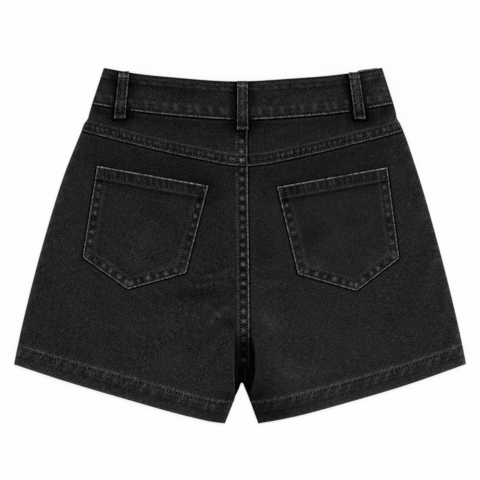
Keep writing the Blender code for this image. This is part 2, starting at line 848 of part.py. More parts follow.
def button(metal):
    """Plain round button under the closure, with a rounded rim."""
    dish, flat, bevel = (BUTTON_RADIUS - inset for inset in BUTTON_RIM)
    profile = ((0.0, BUTTON_DISH), (dish, 0.0), (flat, 0.0), (BUTTON_RADIUS, BUTTON_RIM_HEIGHT),
               (bevel, CLOTH), (0.0, CLOTH))
    sides = BUTTON_SIDES
    points = []
    for radius, z in profile[1:-1]:
        for turn in range(sides):
            angle = 2 * math.pi * turn / sides
            x = BUTTON_PLACE[0] + radius * math.cos(angle)
            points.append((x, BUTTON_PLACE[1] + radius * math.sin(angle), z))
    rings = len(profile) - 2
    faces = []
    for ring in range(rings - 1):
        for turn in range(sides):
            after = (turn + 1) % sides
            faces.append((ring * sides + turn, ring * sides + after,
                          (ring + 1) * sides + after, (ring + 1) * sides + turn))
    points.append((*BUTTON_PLACE, profile[0][1]))
    points.append((*BUTTON_PLACE, profile[-1][1]))
    last = (rings - 1) * sides
    for turn in range(sides):
        after = (turn + 1) % sides
        faces.append((turn, after, rings * sides))
        faces.append((last + turn, last + after, rings * sides + 1))
    return solid("button", points, faces, metal)


def make_material(name, colour, roughness, metallic):
    """Material of one finish."""
    material = bpy.data.materials.new(name)
    material.use_nodes = True
    shader = material.node_tree.nodes["Principled BSDF"]
    shader.inputs["Base Color"].default_value = (*colour, 1)
    shader.inputs["Roughness"].default_value = roughness
    shader.inputs["Metallic"].default_value = metallic
    return material


def main():
    """Build the skort."""
    for item in list(bpy.data.objects):
        bpy.data.objects.remove(item, do_unlink=True)
    denim = make_material("black_denim", (0.014, 0.014, 0.015), 0.85, 0.0)
    metal = make_material("dark_metal", (0.12, 0.12, 0.125), 0.4, 1.0)
    for side in ("left", "right"):
        back(side, denim)
        yoke(side, denim)
        pocket(side, denim)
        front(side, denim)
    skirt(denim)
    waistband(denim)
    for loop in BACK_LOOPS:
        back_loop(loop, denim)
    for loop in FRONT_LOOPS:
        front_loop(loop, denim)
    button(metal)


main()
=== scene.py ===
"""Black denim skort laid flat on a pale floor with its back up.

Lengths are millimetres in the skort's own frame, with X to the wearer's right, Y towards
the waistband and Z up from the table, and meshes are written in metres. Every piece of
cloth is a thin closed shell whose points carry what its finish reads: how light the cloth
is, from its wash and from painted light and shade, how far the next worn fold, covering
edge (which casts a painted shadow) and row of stitches are, and where the point lay in
the uncut cloth.
"""

import logging
import math
from dataclasses import dataclass, field
from enum import Enum
from typing import Iterable

import bmesh
import bpy
import numpy as np
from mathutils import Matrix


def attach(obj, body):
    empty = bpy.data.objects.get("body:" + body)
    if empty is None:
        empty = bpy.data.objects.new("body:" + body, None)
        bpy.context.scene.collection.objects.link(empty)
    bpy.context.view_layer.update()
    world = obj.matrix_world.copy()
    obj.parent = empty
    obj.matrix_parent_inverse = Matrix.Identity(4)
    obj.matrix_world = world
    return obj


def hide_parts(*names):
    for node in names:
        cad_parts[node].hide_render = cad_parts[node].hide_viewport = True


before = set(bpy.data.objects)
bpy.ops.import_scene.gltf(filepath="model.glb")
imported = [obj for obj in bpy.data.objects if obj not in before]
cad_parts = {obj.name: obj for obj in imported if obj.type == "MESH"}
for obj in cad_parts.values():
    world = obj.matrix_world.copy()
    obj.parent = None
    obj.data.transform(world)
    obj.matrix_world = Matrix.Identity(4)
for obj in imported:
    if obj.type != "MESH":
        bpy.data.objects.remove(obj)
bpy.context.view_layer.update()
log = logging.getLogger("skort")

MM = 0.001
FAR = 60.0
BODY_LEVEL = 33.0
SHARP_ANGLE = math.radians(50)
EDGE_POINTS = 90
ROW_POINTS = 160
ROW_CLEARANCE = 0.3
Array = np.ndarray
Place = tuple[float, float]
Points = tuple[Place, ...]
Piece = bpy.types.Object
Material = bpy.types.Material
Socket = bpy.types.NodeSocket


class Side(Enum):
    """The two halves of the garment, as seen from above."""

    LEFT = "left"
    RIGHT = "right"

    @property
    def inward(self) -> int:
        """Direction along X from this side's outer edge to the seat seam."""
        return 1 if self is Side.LEFT else -1


class Slot(Enum):
    """Material slots."""

    DENIM = "denim"
    THREAD = "thread"
    METAL = "button_metal"


class Stretch(Enum):
    """Stretches of the waistband in the order in which it is laid."""

    UNDER = "under"
    TURN_RIGHT = "turn_right"
    BACK = "back"
    TURN_LEFT = "turn_left"
    OVER = "over"


# Helpers for curves, soft steps and new objects


def mix(start: Array | float, end: Array | float, share: Array | float) -> Array | float:
    """Blend two values by a share from 0 to 1."""
    return start + (end - start) * share


def ease(value: Array | float, low: float, high: float) -> Array:
    """Rise softly from 0 at low to 1 at high."""
    t = np.clip((np.asarray(value, dtype=float) - low) / (high - low), 0.0, 1.0)
    return t * t * (3 - 2 * t)


def hump(value: Array, first: float, last: float) -> Array:
    """Swell from 0 at first to 1 in the middle and back to 0 at last."""
    return np.sin(np.pi * np.clip((value - first) / (last - first), 0.0, 1.0))


def bell(value: Array, width: float) -> Array:
    """Soft peak of 1 at 0 that has mostly gone at the given width."""
    return np.exp(-((value / width) ** 2))


def fold_drop(distance: Array, radius: float) -> Array:
    """How far cloth has turned down at a distance from its folded edge."""
    short = np.clip(radius - distance, 0.0, radius)
    return radius - np.sqrt(np.maximum(radius * radius - short * short, 0.0))


def light(level: Array | float) -> Array:
    """Linear brightness of a display level from 0 to 255."""
    share = np.clip(np.asarray(level, dtype=float), 0.5, 255.0) / 255.0
    return np.where(share < 0.04045, share / 12.92, ((share + 0.055) / 1.055) ** 2.4)


def turned(x: Array, y: Array, degrees: float) -> tuple[Array, Array]:
    """Turn places into a frame that is turned anticlockwise.

    Args:
        x: Places across.
        y: Places up.
        degrees: The turn.

    Returns:
        The places across and up in the turned frame.
    """
    angle = math.radians(degrees)
    across = x * math.cos(angle) + y * math.sin(angle)
    along = y * math.cos(angle) - x * math.sin(angle)
    return across, along


def steps(*zones: tuple[float, float, float]) -> Array:
    """Space out places along a line.

    Args:
        zones: Start, end and spacing of each zone.

    Returns:
        The places in order.
    """
    places: list[float] = []
    for first, last, spacing in zones:
        count = max(1, math.ceil((last - first) / spacing))
        places += list(np.linspace(first, last, count + 1))
    return np.array(sorted(set(round(place, 4) for place in places)))


def unit(way: Array) -> Array:
    """Directions of length 1."""
    return way / np.linalg.norm(way, axis=-1, keepdims=True)


def stand(name: str, data: bpy.types.ID) -> bpy.types.Object:
    """Put a new object in the scene.

    Args:
        name: Its name.
        data: The mesh, light or camera that it holds.

    Returns:
        The object.
    """
    thing = bpy.data.objects.new(name, data)
    bpy.context.scene.collection.objects.link(thing)
    return thing


def make_piece(name: str, points: Array, faces: list, finish: Material,
               closed: bool = True) -> Piece:
    """Make a piece.

    Args:
        name: Its name.
        points: Its points in millimetres.
        faces: The numbers of each face's points.
        finish: Its finish.
        closed: Whether it is a closed form, which shades smoothly and whose faces turn outwards.

    Returns:
        The piece, at the origin.
    """
    mesh = bpy.data.meshes.new(name)
    mesh.from_pydata((points * MM).tolist(), [], faces)
    if closed:
        form = bmesh.new()
        form.from_mesh(mesh)
        bmesh.ops.recalc_face_normals(form, faces=form.faces[:])
        form.to_mesh(mesh)
        form.free()
        mesh.shade_smooth()
        mesh.set_sharp_from_angle(angle=SHARP_ANGLE)
    mesh.materials.append(finish)
    return stand(name, mesh)


@dataclass(frozen=True)
class Edge:
    """Line through a few points, read by the first number of each point."""

    points: Points
    straight: bool = False

    def at(self, place: Array | float) -> Array:
        """Read the line.

        Args:
            place: Where to read it, in the terms of each point's first number.

        Returns:
            The second number there, along straight runs or a smooth curve.
        """
        keys, values = np.array(sorted(self.points), dtype=float).T
        place = np.asarray(place, dtype=float)
        if self.straight:
            return np.interp(place, keys, values)
        slopes = np.gradient(values, keys)
        row = np.clip(np.searchsorted(keys, place) - 1, 0, len(keys) - 2)
        span = keys[row + 1] - keys[row]
        t = np.clip((place - keys[row]) / span, 0.0, 1.0)
        bend = t * t * (3 - 2 * t)
        swing = span * t * (1 - t) * ((1 - t) * slopes[row] - t * slopes[row + 1])
        return (1 - bend) * values[row] + bend * values[row + 1] + swing


class Run:
    """Edge of a panel as a chain of points, read from 0 at its start to 1 at its end."""

    def __init__(self, points: Iterable[Place]) -> None:
        """Measure the chain.

        Args:
            points: Its points in order.
        """
        self.places = np.array(list(points), dtype=float)
        lengths = np.hypot(*np.diff(self.places, axis=0).T)
        self.length = float(lengths.sum())
        self.shares = np.concatenate(([0.0], np.cumsum(lengths))) / self.length

    def at(self, share: Array | float) -> Array:
        """Points at the shares, with X and Y in the last axis."""
        line = [np.interp(share, self.shares, places) for places in self.places.T]
        return np.stack(line, axis=-1)

    def share_at_height(self, y: float) -> float:
        """Share at which a run that only goes down reaches a height."""
        return float(np.interp(-y, -self.places[:, 1], self.shares))


@dataclass(frozen=True)
class Panel:
    """Flat plan of a piece, blended from its top, lower, start and end edges."""

    top: Run
    low: Run
    start: Run
    end: Run

    def at(self, u: Array, v: Array) -> Array:
        """Places of a panel.

        Args:
            u: Shares across, 0 at the start edge.
            v: Shares down, 0 at the top edge, as many as u.

        Returns:
            Array of places with X and Y in the last axis.
        """
        corners = (self.start.at(0.0), self.end.at(0.0), self.start.at(1.0), self.end.at(1.0))
        across, down = u[..., None], v[..., None]
        ruled = mix(self.top.at(u), self.low.at(u), down)
        ruled = ruled + mix(self.start.at(v), self.end.at(v), across)
        upper = mix(corners[0], corners[1], across)
        return ruled - mix(upper, mix(corners[2], corners[3], across), down)

    def widths(self, v: Array) -> Array:
        """Straight width of the panel at the shares down."""
        return np.linalg.norm(self.end.at(v) - self.start.at(v), axis=-1)


# The cut of the garment and how its layers lie


@dataclass(frozen=True)
class Loop:
    """A belt loop: its name, its place at the top of the band and where its foot ends.

    The tack is how far above the end of the foot the bar tack lies, and glow is how many
    levels lighter than the other loops it has washed over the band.
    """

    name: str
    top_x: float
    top_width: float
    low_x: float
    low_width: float
    low_y: float
    tack: float = 5.6
    glow: float = 0.0

    def at(self, y: Array | float, top_y: float) -> tuple[Array, Array]:
        """Measure the loop across.

        Args:
            y: Places up the garment.
            top_y: Upper end of the loop.

        Returns:
            Where its middle lies at those places, and half of its width there.
        """
        share = (y - self.low_y) / (top_y - self.low_y)
        half = mix(self.low_width, self.top_width, np.clip(share, 0, 1)) / 2
        return mix(self.low_x, self.top_x, share), half


@dataclass(frozen=True)
class PocketCorners:
    """Corners of a patch pocket, from the outer top one round to the outer lower one."""

    top_out: Place
    top_in: Place
    low_in: Place
    tip: Place
    low_out: Place

    @property
    def sides(self) -> Points:
        """The sewn edge, down one side, round the point and up the other side."""
        return (self.top_out, self.low_out, self.tip, self.low_in, self.top_in)

    def outside(self, x: Array, y: Array) -> Array:
        """Measure places against the pocket.

        Args:
            x: Places across.
            y: Places up the garment.

        Returns:
            Signed distances outside it, negative under it.
        """
        outline = self.sides + (self.top_out,)
        inside = np.zeros(np.shape(x), dtype=bool)
        for (ax, ay), (bx, by) in zip(outline, outline[1:]):
            crosses = (ay > y) != (by > y)
            inside ^= crosses & (x < ax + (y - ay) * (bx - ax) / (by - ay))
        nearest = to_chain(outline, x, y)[0]
        return np.where(inside, -nearest, nearest)


@dataclass(frozen=True)
class Cut:
    """Outlines of the pieces and the heights at which they lie on each other."""

    cloth: float = 1.0
    gap: float = 0.35
    leg_gap: float = 0.5
    band: float = 1.6
    loop_cloth: float = 1.2
    hem_extra: float = 0.8
    hem_depth: float = 23.0
    hem_fade: Place = (4.0, 3.0)
    yoke_lap: float = 14.0
    yoke_ramp: Place = (1.5, 9.0)
    yoke_rise: float = 0.5
    fell_left: float = -4.6
    fell_right: float = 9.8
    fell_hidden: float = -3.0
    front_seam: float = 2.3
    crotch: float = -150.5
    fold_lift: float = 3.2
    fold_reach: float = 16.0
    fold_run: float = 1.8
    turn_under: float = 1.6
    edge_round: float = 1.3
    side_tuck: float = 2.0
    tuck_ramp: Place = (-5.0, -0.5)
    tucked_share: float = 0.042
    skirt_ramp: float = 36.0
    skirt_inset: float = 1.2
    front_drop: float = 5.0
    overlap_start: float = 128.0
    overlap_end: float = 171.0
    overlap_ramp: float = 34.0
    left_side: Edge = Edge((
        (221.8, -170.4), (184.5, -182.6), (164.5, -188.6), (158.5, -190.3), (152.0, -194.8),
        (144.5, -197.7), (94.5, -217.6), (14.5, -242.8), (-65.5, -264.1), (-118.0, -276.3),
        (-147.0, -282.0)))
    right_side: Edge = Edge((
        (221.8, 177.0), (184.5, 188.9), (164.5, 194.5), (158.5, 195.6), (152.0, 199.5),
        (144.5, 202.9), (94.5, 220.6), (14.5, 243.9), (-65.5, 264.5), (-118.0, 276.4),
        (-147.0, 282.0)))
    waist_top: Edge = Edge((
        (-170.4, 222.0), (-137.7, 216.0), (-77.7, 209.5), (-5.0, 205.0), (62.0, 208.4),
        (132.0, 214.4), (157.0, 218.0), (177.0, 221.8)))
    waist_low: Edge = Edge((
        (-185.2, 177.4), (-140.6, 169.6), (-70.0, 161.8), (1.7, 157.6), (70.0, 161.0),
        (139.4, 167.9), (191.2, 177.8)))
    yoke_low: Edge = Edge((
        (-198.2, 143.6), (-145.9, 130.0), (-59.2, 109.9), (2.0, 99.6), (80.6, 112.0),
        (145.2, 127.8), (170.0, 133.9), (203.8, 143.2)))
    hem_left: Edge = Edge((
        (-282.0, -148.3), (-221.4, -168.3), (-141.4, -192.2), (-61.4, -214.2), (-36.0, -219.9),
        (-19.0, -222.1)))
    hem_right: Edge = Edge((
        (22.6, -222.1), (38.0, -219.6), (58.6, -215.7), (138.6, -194.7), (218.6, -170.4),
        (282.0, -147.9)))
    fold_left: Edge = Edge((
        (170.0, -6.8), (-150.5, -6.8), (-187.6, -5.8), (-193.0, -7.4), (-222.1, -19.0)), True)
    fold_right: Edge = Edge((
        (170.0, 12.0), (-96.0, 12.0), (-112.0, 13.4), (-133.0, 17.0), (-158.0, 17.2),
        (-172.0, 14.4), (-187.0, 9.6), (-192.0, 11.4), (-222.1, 22.6)), True)
    seat_lean: Edge = Edge((
        (145.0, -1.0), (110.0, -0.9), (30.0, 0.1), (-30.0, 1.0), (-90.0, 1.5), (-151.0, 1.6)), True)
    crotch_arch: Edge = Edge((
        (-5.8, -187.6), (-3.4, -183.0), (-1.2, -178.0), (0.3, -173.6), (1.2, -171.6),
        (3.2, -171.6), (4.2, -173.8), (5.8, -178.0), (7.9, -183.0), (9.6, -187.0)), True)
    skirt_hem: Edge = Edge((
        (-282.0, -146.5), (-150.0, -157.0), (0.0, -165.0), (120.0, -163.0), (225.0, -156.0)))
    skirt_edge: Edge = Edge((
        (176.0, 132.0), (90.0, 152.0), (-60.0, 186.0), (-132.0, 201.0), (-156.0, 192.0)), True)
    pockets: tuple[tuple[Side, PocketCorners], ...] = (
        (Side.LEFT, PocketCorners((-178.1, 99.2), (-39.9, 74.4), (-68.0, -34.0), (-140.2, -54.1),
                                  (-196.4, -14.2))),
        (Side.RIGHT, PocketCorners((183.4, 97.4), (46.4, 72.9), (72.4, -35.4), (145.2, -56.2),
                                   (198.2, -15.9))))
    back_loops: tuple[Loop, ...] = (
        Loop("loop_back_left", -144.5, 12.5, -150.3, 13.7, 158.8, 5.6),
        Loop("loop_back_centre", 2.8, 12.7, 3.1, 13.6, 144.5, 6.4, 10.0),
        Loop("loop_back_right", 141.5, 12.6, 149.4, 13.2, 157.6, 5.6, 14.0))
    front_loops: tuple[Loop, ...] = (
        Loop("loop_front_left", -96.0, 13.4, -98.0, 13.4, 158.0),
        Loop("loop_front_right", 92.0, 13.4, 94.0, 13.4, 158.0))
    closure_run: Place = (112.0, 154.0)
    waist_run: Place = (118.0, 158.0)
    yoke_rise_run: Place = (-24.0, -10.0)
    fold_ends: tuple[Place, Place] = ((-206.0, -180.0), (92.0, 132.0))
    samples: int = 120

    @property
    def layer(self) -> float:
        """Height of one cloth and the gap above it."""
        return self.cloth + self.gap

    @property
    def back_band(self) -> float:
        """Height of the back waistband's upper face away from the closure."""
        return self.layer + 2 * self.band + self.gap

    def side_x(self, side: Side, y: Array) -> Array:
        """Outer edge of the legs at the heights."""
        return (self.left_side if side is Side.LEFT else self.right_side).at(y)

    def fold_of(self, side: Side) -> Edge:
        """Edge of a leg along the seat seam and the inside of the leg."""
        return self.fold_left if side is Side.LEFT else self.fold_right

    def fold_x(self, side: Side, y: Array) -> Array:
        """Places across of that edge at the heights."""
        return self.fold_of(side).at(y)

    def hem_of(self, side: Side) -> Edge:
        """Lower edge of one leg."""
        return self.hem_left if side is Side.LEFT else self.hem_right

    def hem_y(self, x: Array) -> Array:
        """Lower edge of whichever leg is at the places across."""
        return np.where(x < self.front_seam, self.hem_left.at(x), self.hem_right.at(x))

    def hem_share(self, x: Array, y: Array) -> Array:
        """1 inside the turned hem and 0 above it."""
        low, top = self.hem_fade
        return 1 - ease(y - self.hem_y(x), self.hem_depth - low, self.hem_depth + top)

    def wall(self, x: Array, y: Array) -> Array:
        """Thickness of a leg panel."""
        return self.cloth + self.hem_extra * self.hem_share(x, y)

    def front_waist(self, x: Array) -> Array:
        """Lower edge of the front waistband, a little lower than the back one."""
        return self.waist_low.at(x) - self.band_dip(x)

    def band_dip(self, x: Array) -> Array:
        """How far the front of the waist lies below the back of it."""
        reach = self.waist_low.points[-1][0]
        return self.front_drop * np.maximum(1 - (x / reach) ** 2, 0.0)

    def band_lift(self, x: Array) -> Array:
        """Rise of the back waistband over the overlapped ends."""
        start = self.overlap_start
        return (self.band + self.gap) * ease(x, start - self.overlap_ramp, start - 2)

    def floor_z(self, x: Array, y: Array) -> Array:
        """Follow the lower face of the leg fronts, on the skirt panel or on the table.

        Args:
            x: Places across.
            y: Places up the garment.

        Returns:
            Its heights above the table.
        """
        over = ease(y - self.skirt_hem.at(x), -self.skirt_ramp, -1)
        over = over * ease(self.skirt_edge.at(y) - x, -self.skirt_ramp, -1)
        over = np.maximum(over, ease(y, *self.waist_run))
        return self.layer * over + self.band_lift(x) * ease(y, *self.closure_run)

    def front_inner(self, x: Array, y: Array) -> Array:
        """Inside face of the leg fronts."""
        return self.floor_z(x, y) + self.wall(x, y)

    def inseam_z(self, x: Array, y: Array) -> Array:
        """Height at which the front and back of a leg meet along rolled edges."""
        return self.front_inner(x, y) + self.leg_gap / 2

    def fold_share(self, side: Side, x: Array, y: Array) -> Array:
        """Follow the soft roll that each leg makes beside the crotch.

        Args:
            side: The leg.
            x: Places across.
            y: Places up the garment.

        Returns:
            Shares of the roll's height.
        """
        low, top = self.fold_ends
        away = -(x - self.fold_x(side, y)) * side.inward
        inside = 1 - ease(-away, 0, self.fold_run)
        beside = np.where(away < 0, inside, bell(away, self.fold_reach))
        return ease(y, *low) * ease(-y, *top) * beside

    def fell_step(self, side: Side, x: Array) -> Array:
        """Rise of the left back where it laps over the right one along the seat seam."""
        step = self.layer * ease(x, float(self.fold_left.points[0][1]), self.fell_left)
        return step if side is Side.LEFT else np.zeros_like(x)

    def back_z(self, side: Side, x: Array, y: Array) -> Array:
        """Outside face of a leg back before its seams pucker."""
        level = self.front_inner(x, y) + self.leg_gap + self.wall(x, y)
        return level + self.fold_lift * self.fold_share(side, x, y) + self.fell_step(side, x)

    def yoke_z(self, side: Side, x: Array, y: Array) -> Array:
        """Follow the outside face of a yoke, which laps over the leg back, before its seams pucker.

        Args:
            side: The half of the garment.
            x: Places across.
            y: Places up the garment.

        Returns:
            Its heights above the table.
        """
        past_lap = y - self.yoke_low.at(x) - self.yoke_lap
        lap = self.layer * (1 - ease(past_lap, *self.yoke_ramp))
        rise = lap + self.yoke_rise * ease(y - self.waist_low.at(x), *self.yoke_rise_run)
        return self.front_inner(x, y) + self.leg_gap + self.cloth + rise + self.fell_step(side, x)

    def side_run(self, side: Side, top: Array, low: Array, tuck_y: float | None = None) -> Run:
        """Follow the outer edge of a panel.

        Args:
            side: The half of the garment.
            top: Upper end of the edge.
            low: Lower end of the edge.
            tuck_y: Height above which it is tucked in under the panel over it.

        Returns:
            The edge, going down.
        """
        y = np.linspace(top[1], low[1], self.samples)
        x = self.side_x(side, y)
        if tuck_y is not None:
            x = x + side.inward * self.side_tuck * ease(y - tuck_y, *self.tuck_ramp)
        x[0], x[-1] = top[0], low[0]
        return Run(zip(x, y))

    def fold_run_of(self, side: Side, top: float) -> Run:
        """Inner edge of a panel, down the seat and the inside of the leg."""
        start = (float(self.fold_x(side, top)), top)
        return Run([start] + [(x, y) for y, x in self.fold_of(side).points if y < top])

    def by_loops(self, x: Array, y: Array) -> tuple[Array, Array]:
        """Measure places against the belt loops of the back.

        Args:
            x: Places across.
            y: Places up the garment.

        Returns:
            Distances outside the nearest loop, and whether it lies to the left of the place.
        """
        nearest, beside = np.full(np.shape(x), FAR), np.full(np.shape(x), math.inf)
        right = np.zeros(np.shape(x), dtype=bool)
        for loop in self.back_loops:
            top_y = float(self.waist_top.at(loop.top_x))
            middle, half = loop.at(y, top_y)
            apart, below = np.abs(x - middle) - half, loop.low_y - y
            gap = np.hypot(np.maximum(apart, 0), np.maximum(below, 0))
            nearest = np.minimum(nearest, gap + np.minimum(np.maximum(apart, below), 0))
            away = x - mix(loop.low_x, loop.top_x, ease(y, loop.low_y, top_y))
            right = np.where(np.abs(away) < beside, away > 0, right)
            beside = np.minimum(beside, np.abs(away))
        return nearest, right


def to_chain(points: Points, x: Array, y: Array) -> tuple[Array, Array]:
    """Measure places against a chain of straight runs.

    Args:
        points: The chain's corners.
        x: Places across.
        y: Places up the garment.

    Returns:
        The distance to the chain, and how far along it the nearest place is.
    """
    nearest = np.full(np.shape(x), 1e9)
    along = np.zeros(np.shape(x))
    done = 0.0
    for (ax, ay), (bx, by) in zip(points, points[1:]):
        dx, dy = bx - ax, by - ay
        length = math.hypot(dx, dy)
        share = np.clip(((x - ax) * dx + (y - ay) * dy) / length**2, 0, 1)
        distance = np.hypot(x - ax - share * dx, y - ay - share * dy)
        closer = distance < nearest
        nearest = np.where(closer, distance, nearest)
        along = np.where(closer, done + share * length, along)
        done += length
    return nearest, along


def beyond_line(start: Place, end: Place, x: Array, y: Array) -> Array:
    """Signed distance to the left of a straight line from start to end."""
    dx, dy = end[0] - start[0], end[1] - start[1]
    return ((y - start[1]) * dx - (x - start[0]) * dy) / math.hypot(dx, dy)


# What wear and sewing do to the cloth, and the painted light and shade on it


@dataclass(frozen=True)
class Puckers:
    """Uneven gathers along a seam: their spacing, length, place across it, lean and strength."""

    spacing: float
    length: float
    first: float
    last: float
    rise: float
    tone: float
    lean: float = 0.0
    seed: int = 1
    wander: float = 0.28
    reach: float = 360.0
    sizes: Place = (0.6, 1.05)
    lengths: Place = (0.75, 1.3)
    hollow: float = 0.4

    def wave(self, along: Array, across: Array) -> Array:
        """Height of the gathers.

        Args:
            along: Places along the seam.
            across: Distances from the seam's folded edge.

        Returns:
            Values from below 0 in the hollows to 1 on the crests, 0 off the gathers.
        """
        count = int(self.reach / self.spacing)
        draw = np.random.default_rng(self.seed)
        drift = draw.uniform(-self.wander, self.wander, 2 * count)
        places = (np.arange(-count, count) + drift) * self.spacing
        sizes = draw.uniform(*self.sizes, 2 * count)
        lengths = self.length * draw.uniform(*self.lengths, 2 * count)
        window = hump(across, self.first, self.last)
        near = window > 0.01
        place = (along - self.lean * (across - (self.first + self.last) / 2))[near]
        crest = np.zeros(place.shape)
        for centre, size, length in zip(places, sizes, lengths):
            crest += size * bell(place - centre, length)
        wave = np.zeros(np.shape(across))
        wave[near] = window[near] * ((1 + self.hollow) * crest - self.hollow)
        return wave


@dataclass(frozen=True)
class Seam:
    """A sewn edge: how light its cloth is, where it is stitched and how it swells.

    The levels are display levels against the distance in from the folded edge: washed lines,
    and painted shade beside its ridges and at its rolled edges. The ridges are places, half
    widths and heights, wear is how far the fold itself has greyed, and dots is how plainly
    the stitches dimple the cloth.
    """

    levels: Points
    rows: tuple[float, ...] = ()
    ridges: tuple[tuple[float, float, float], ...] = ()
    puckers: tuple[Puckers, ...] = ()
    wear: float = 0.6
    groove: float = 0.22
    groove_half: float = 0.75
    dots: float = 1.0

    def level(self, across: Array, along: Array) -> Array:
        """Work out how light the seam is, from its wash and from its painted shade.

        Args:
            across: Distances in from its folded edge.
            along: Places along it.

        Returns:
            How many levels lighter than the plain cloth it is.
        """
        change = np.interp(across, *np.array(self.levels).T) - BODY_LEVEL
        for gather in self.puckers:
            change = change + gather.tone * gather.wave(along, across)
        return change

    def rise(self, across: Array, along: Array) -> Array:
        """Work out how the seam swells, with its rows of stitches pulled in.

        Args:
            across: Distances in from its folded edge.
            along: Places along it.

        Returns:
            Heights that it adds.
        """
        height = np.zeros(np.shape(across))
        for place, half, size in self.ridges:
            height = height + size * bell(across - place, half)
        for gather in self.puckers:
            height = height + gather.rise * gather.wave(along, across)
        for row in self.rows:
            height = height - self.groove * bell(across - row, self.groove_half)
        return height

    def row(self, across: Array) -> Array:
        """Measure to the nearest row of stitches.

        Args:
            across: Distances in from the folded edge.

        Returns:
            Signed distances, which stay smooth between the rows.
        """
        value = np.ones(np.shape(across))
        for row in self.rows:
            value = value * (across - row)
        return value / (max(self.rows) - min(self.rows) or 1.0) / self.dots


@dataclass(frozen=True)
class Crease:
    """A soft fold across the cloth, from one end to the other along a slight bow. Its crest is
    lighter, partly from wear and partly as painted light, and its foot on one side is
    painted darker as shade.
    """

    start: Place
    end: Place
    bow: float
    width: float
    rise: float
    tone: float
    fullness: float = 0.8
    foot_away: float = 1.5
    foot_width: float = 1.1
    foot_dark: float = 0.9

    def profile(self, x: Array, y: Array) -> tuple[Array, Array]:
        """Work out the form of the fold.

        Args:
            x: Places across.
            y: Places up the garment.

        Returns:
            Shares of its height, and of its painted light and shade: lighter on the crest, darker
            at the foot.
        """
        start, end = np.array(self.start), np.array(self.end)
        length = float(np.linalg.norm(end - start))
        dx, dy = (end - start) / length
        along = ((x - start[0]) * dx + (y - start[1]) * dy) / length
        across = (y - start[1]) * dx - (x - start[0]) * dy
        across = across - 4 * self.bow * along * (1 - along)
        taper = hump(along, 0.0, 1.0) ** self.fullness
        crest = taper * bell(across, self.width)
        below = across + self.foot_away * self.width
        foot = taper * bell(below, self.foot_width * self.width)
        return crest, crest - self.foot_dark * foot


@dataclass(frozen=True)
class ToneAndShadePatch:
    """A soft patch lighter or darker than the cloth round it, used both for washed patches and for
    painted shadows.
    """

    x: float
    y: float
    half_x: float
    half_y: float
    turn: float
    tone: float

    def level(self, x: Array, y: Array) -> Array:
        """Levels that the patch adds."""
        across, along = turned(x - self.x, y - self.y, self.turn)
        return self.tone * np.exp(-((across / self.half_x) ** 2) - (along / self.half_y) ** 2)


def patches(*rows: tuple[float, ...]) -> tuple[ToneAndShadePatch, ...]:
    """Washed patches and painted shadows, each from its x, y, half_x, half_y, turn and tone."""
    return tuple(ToneAndShadePatch(*row) for row in rows)


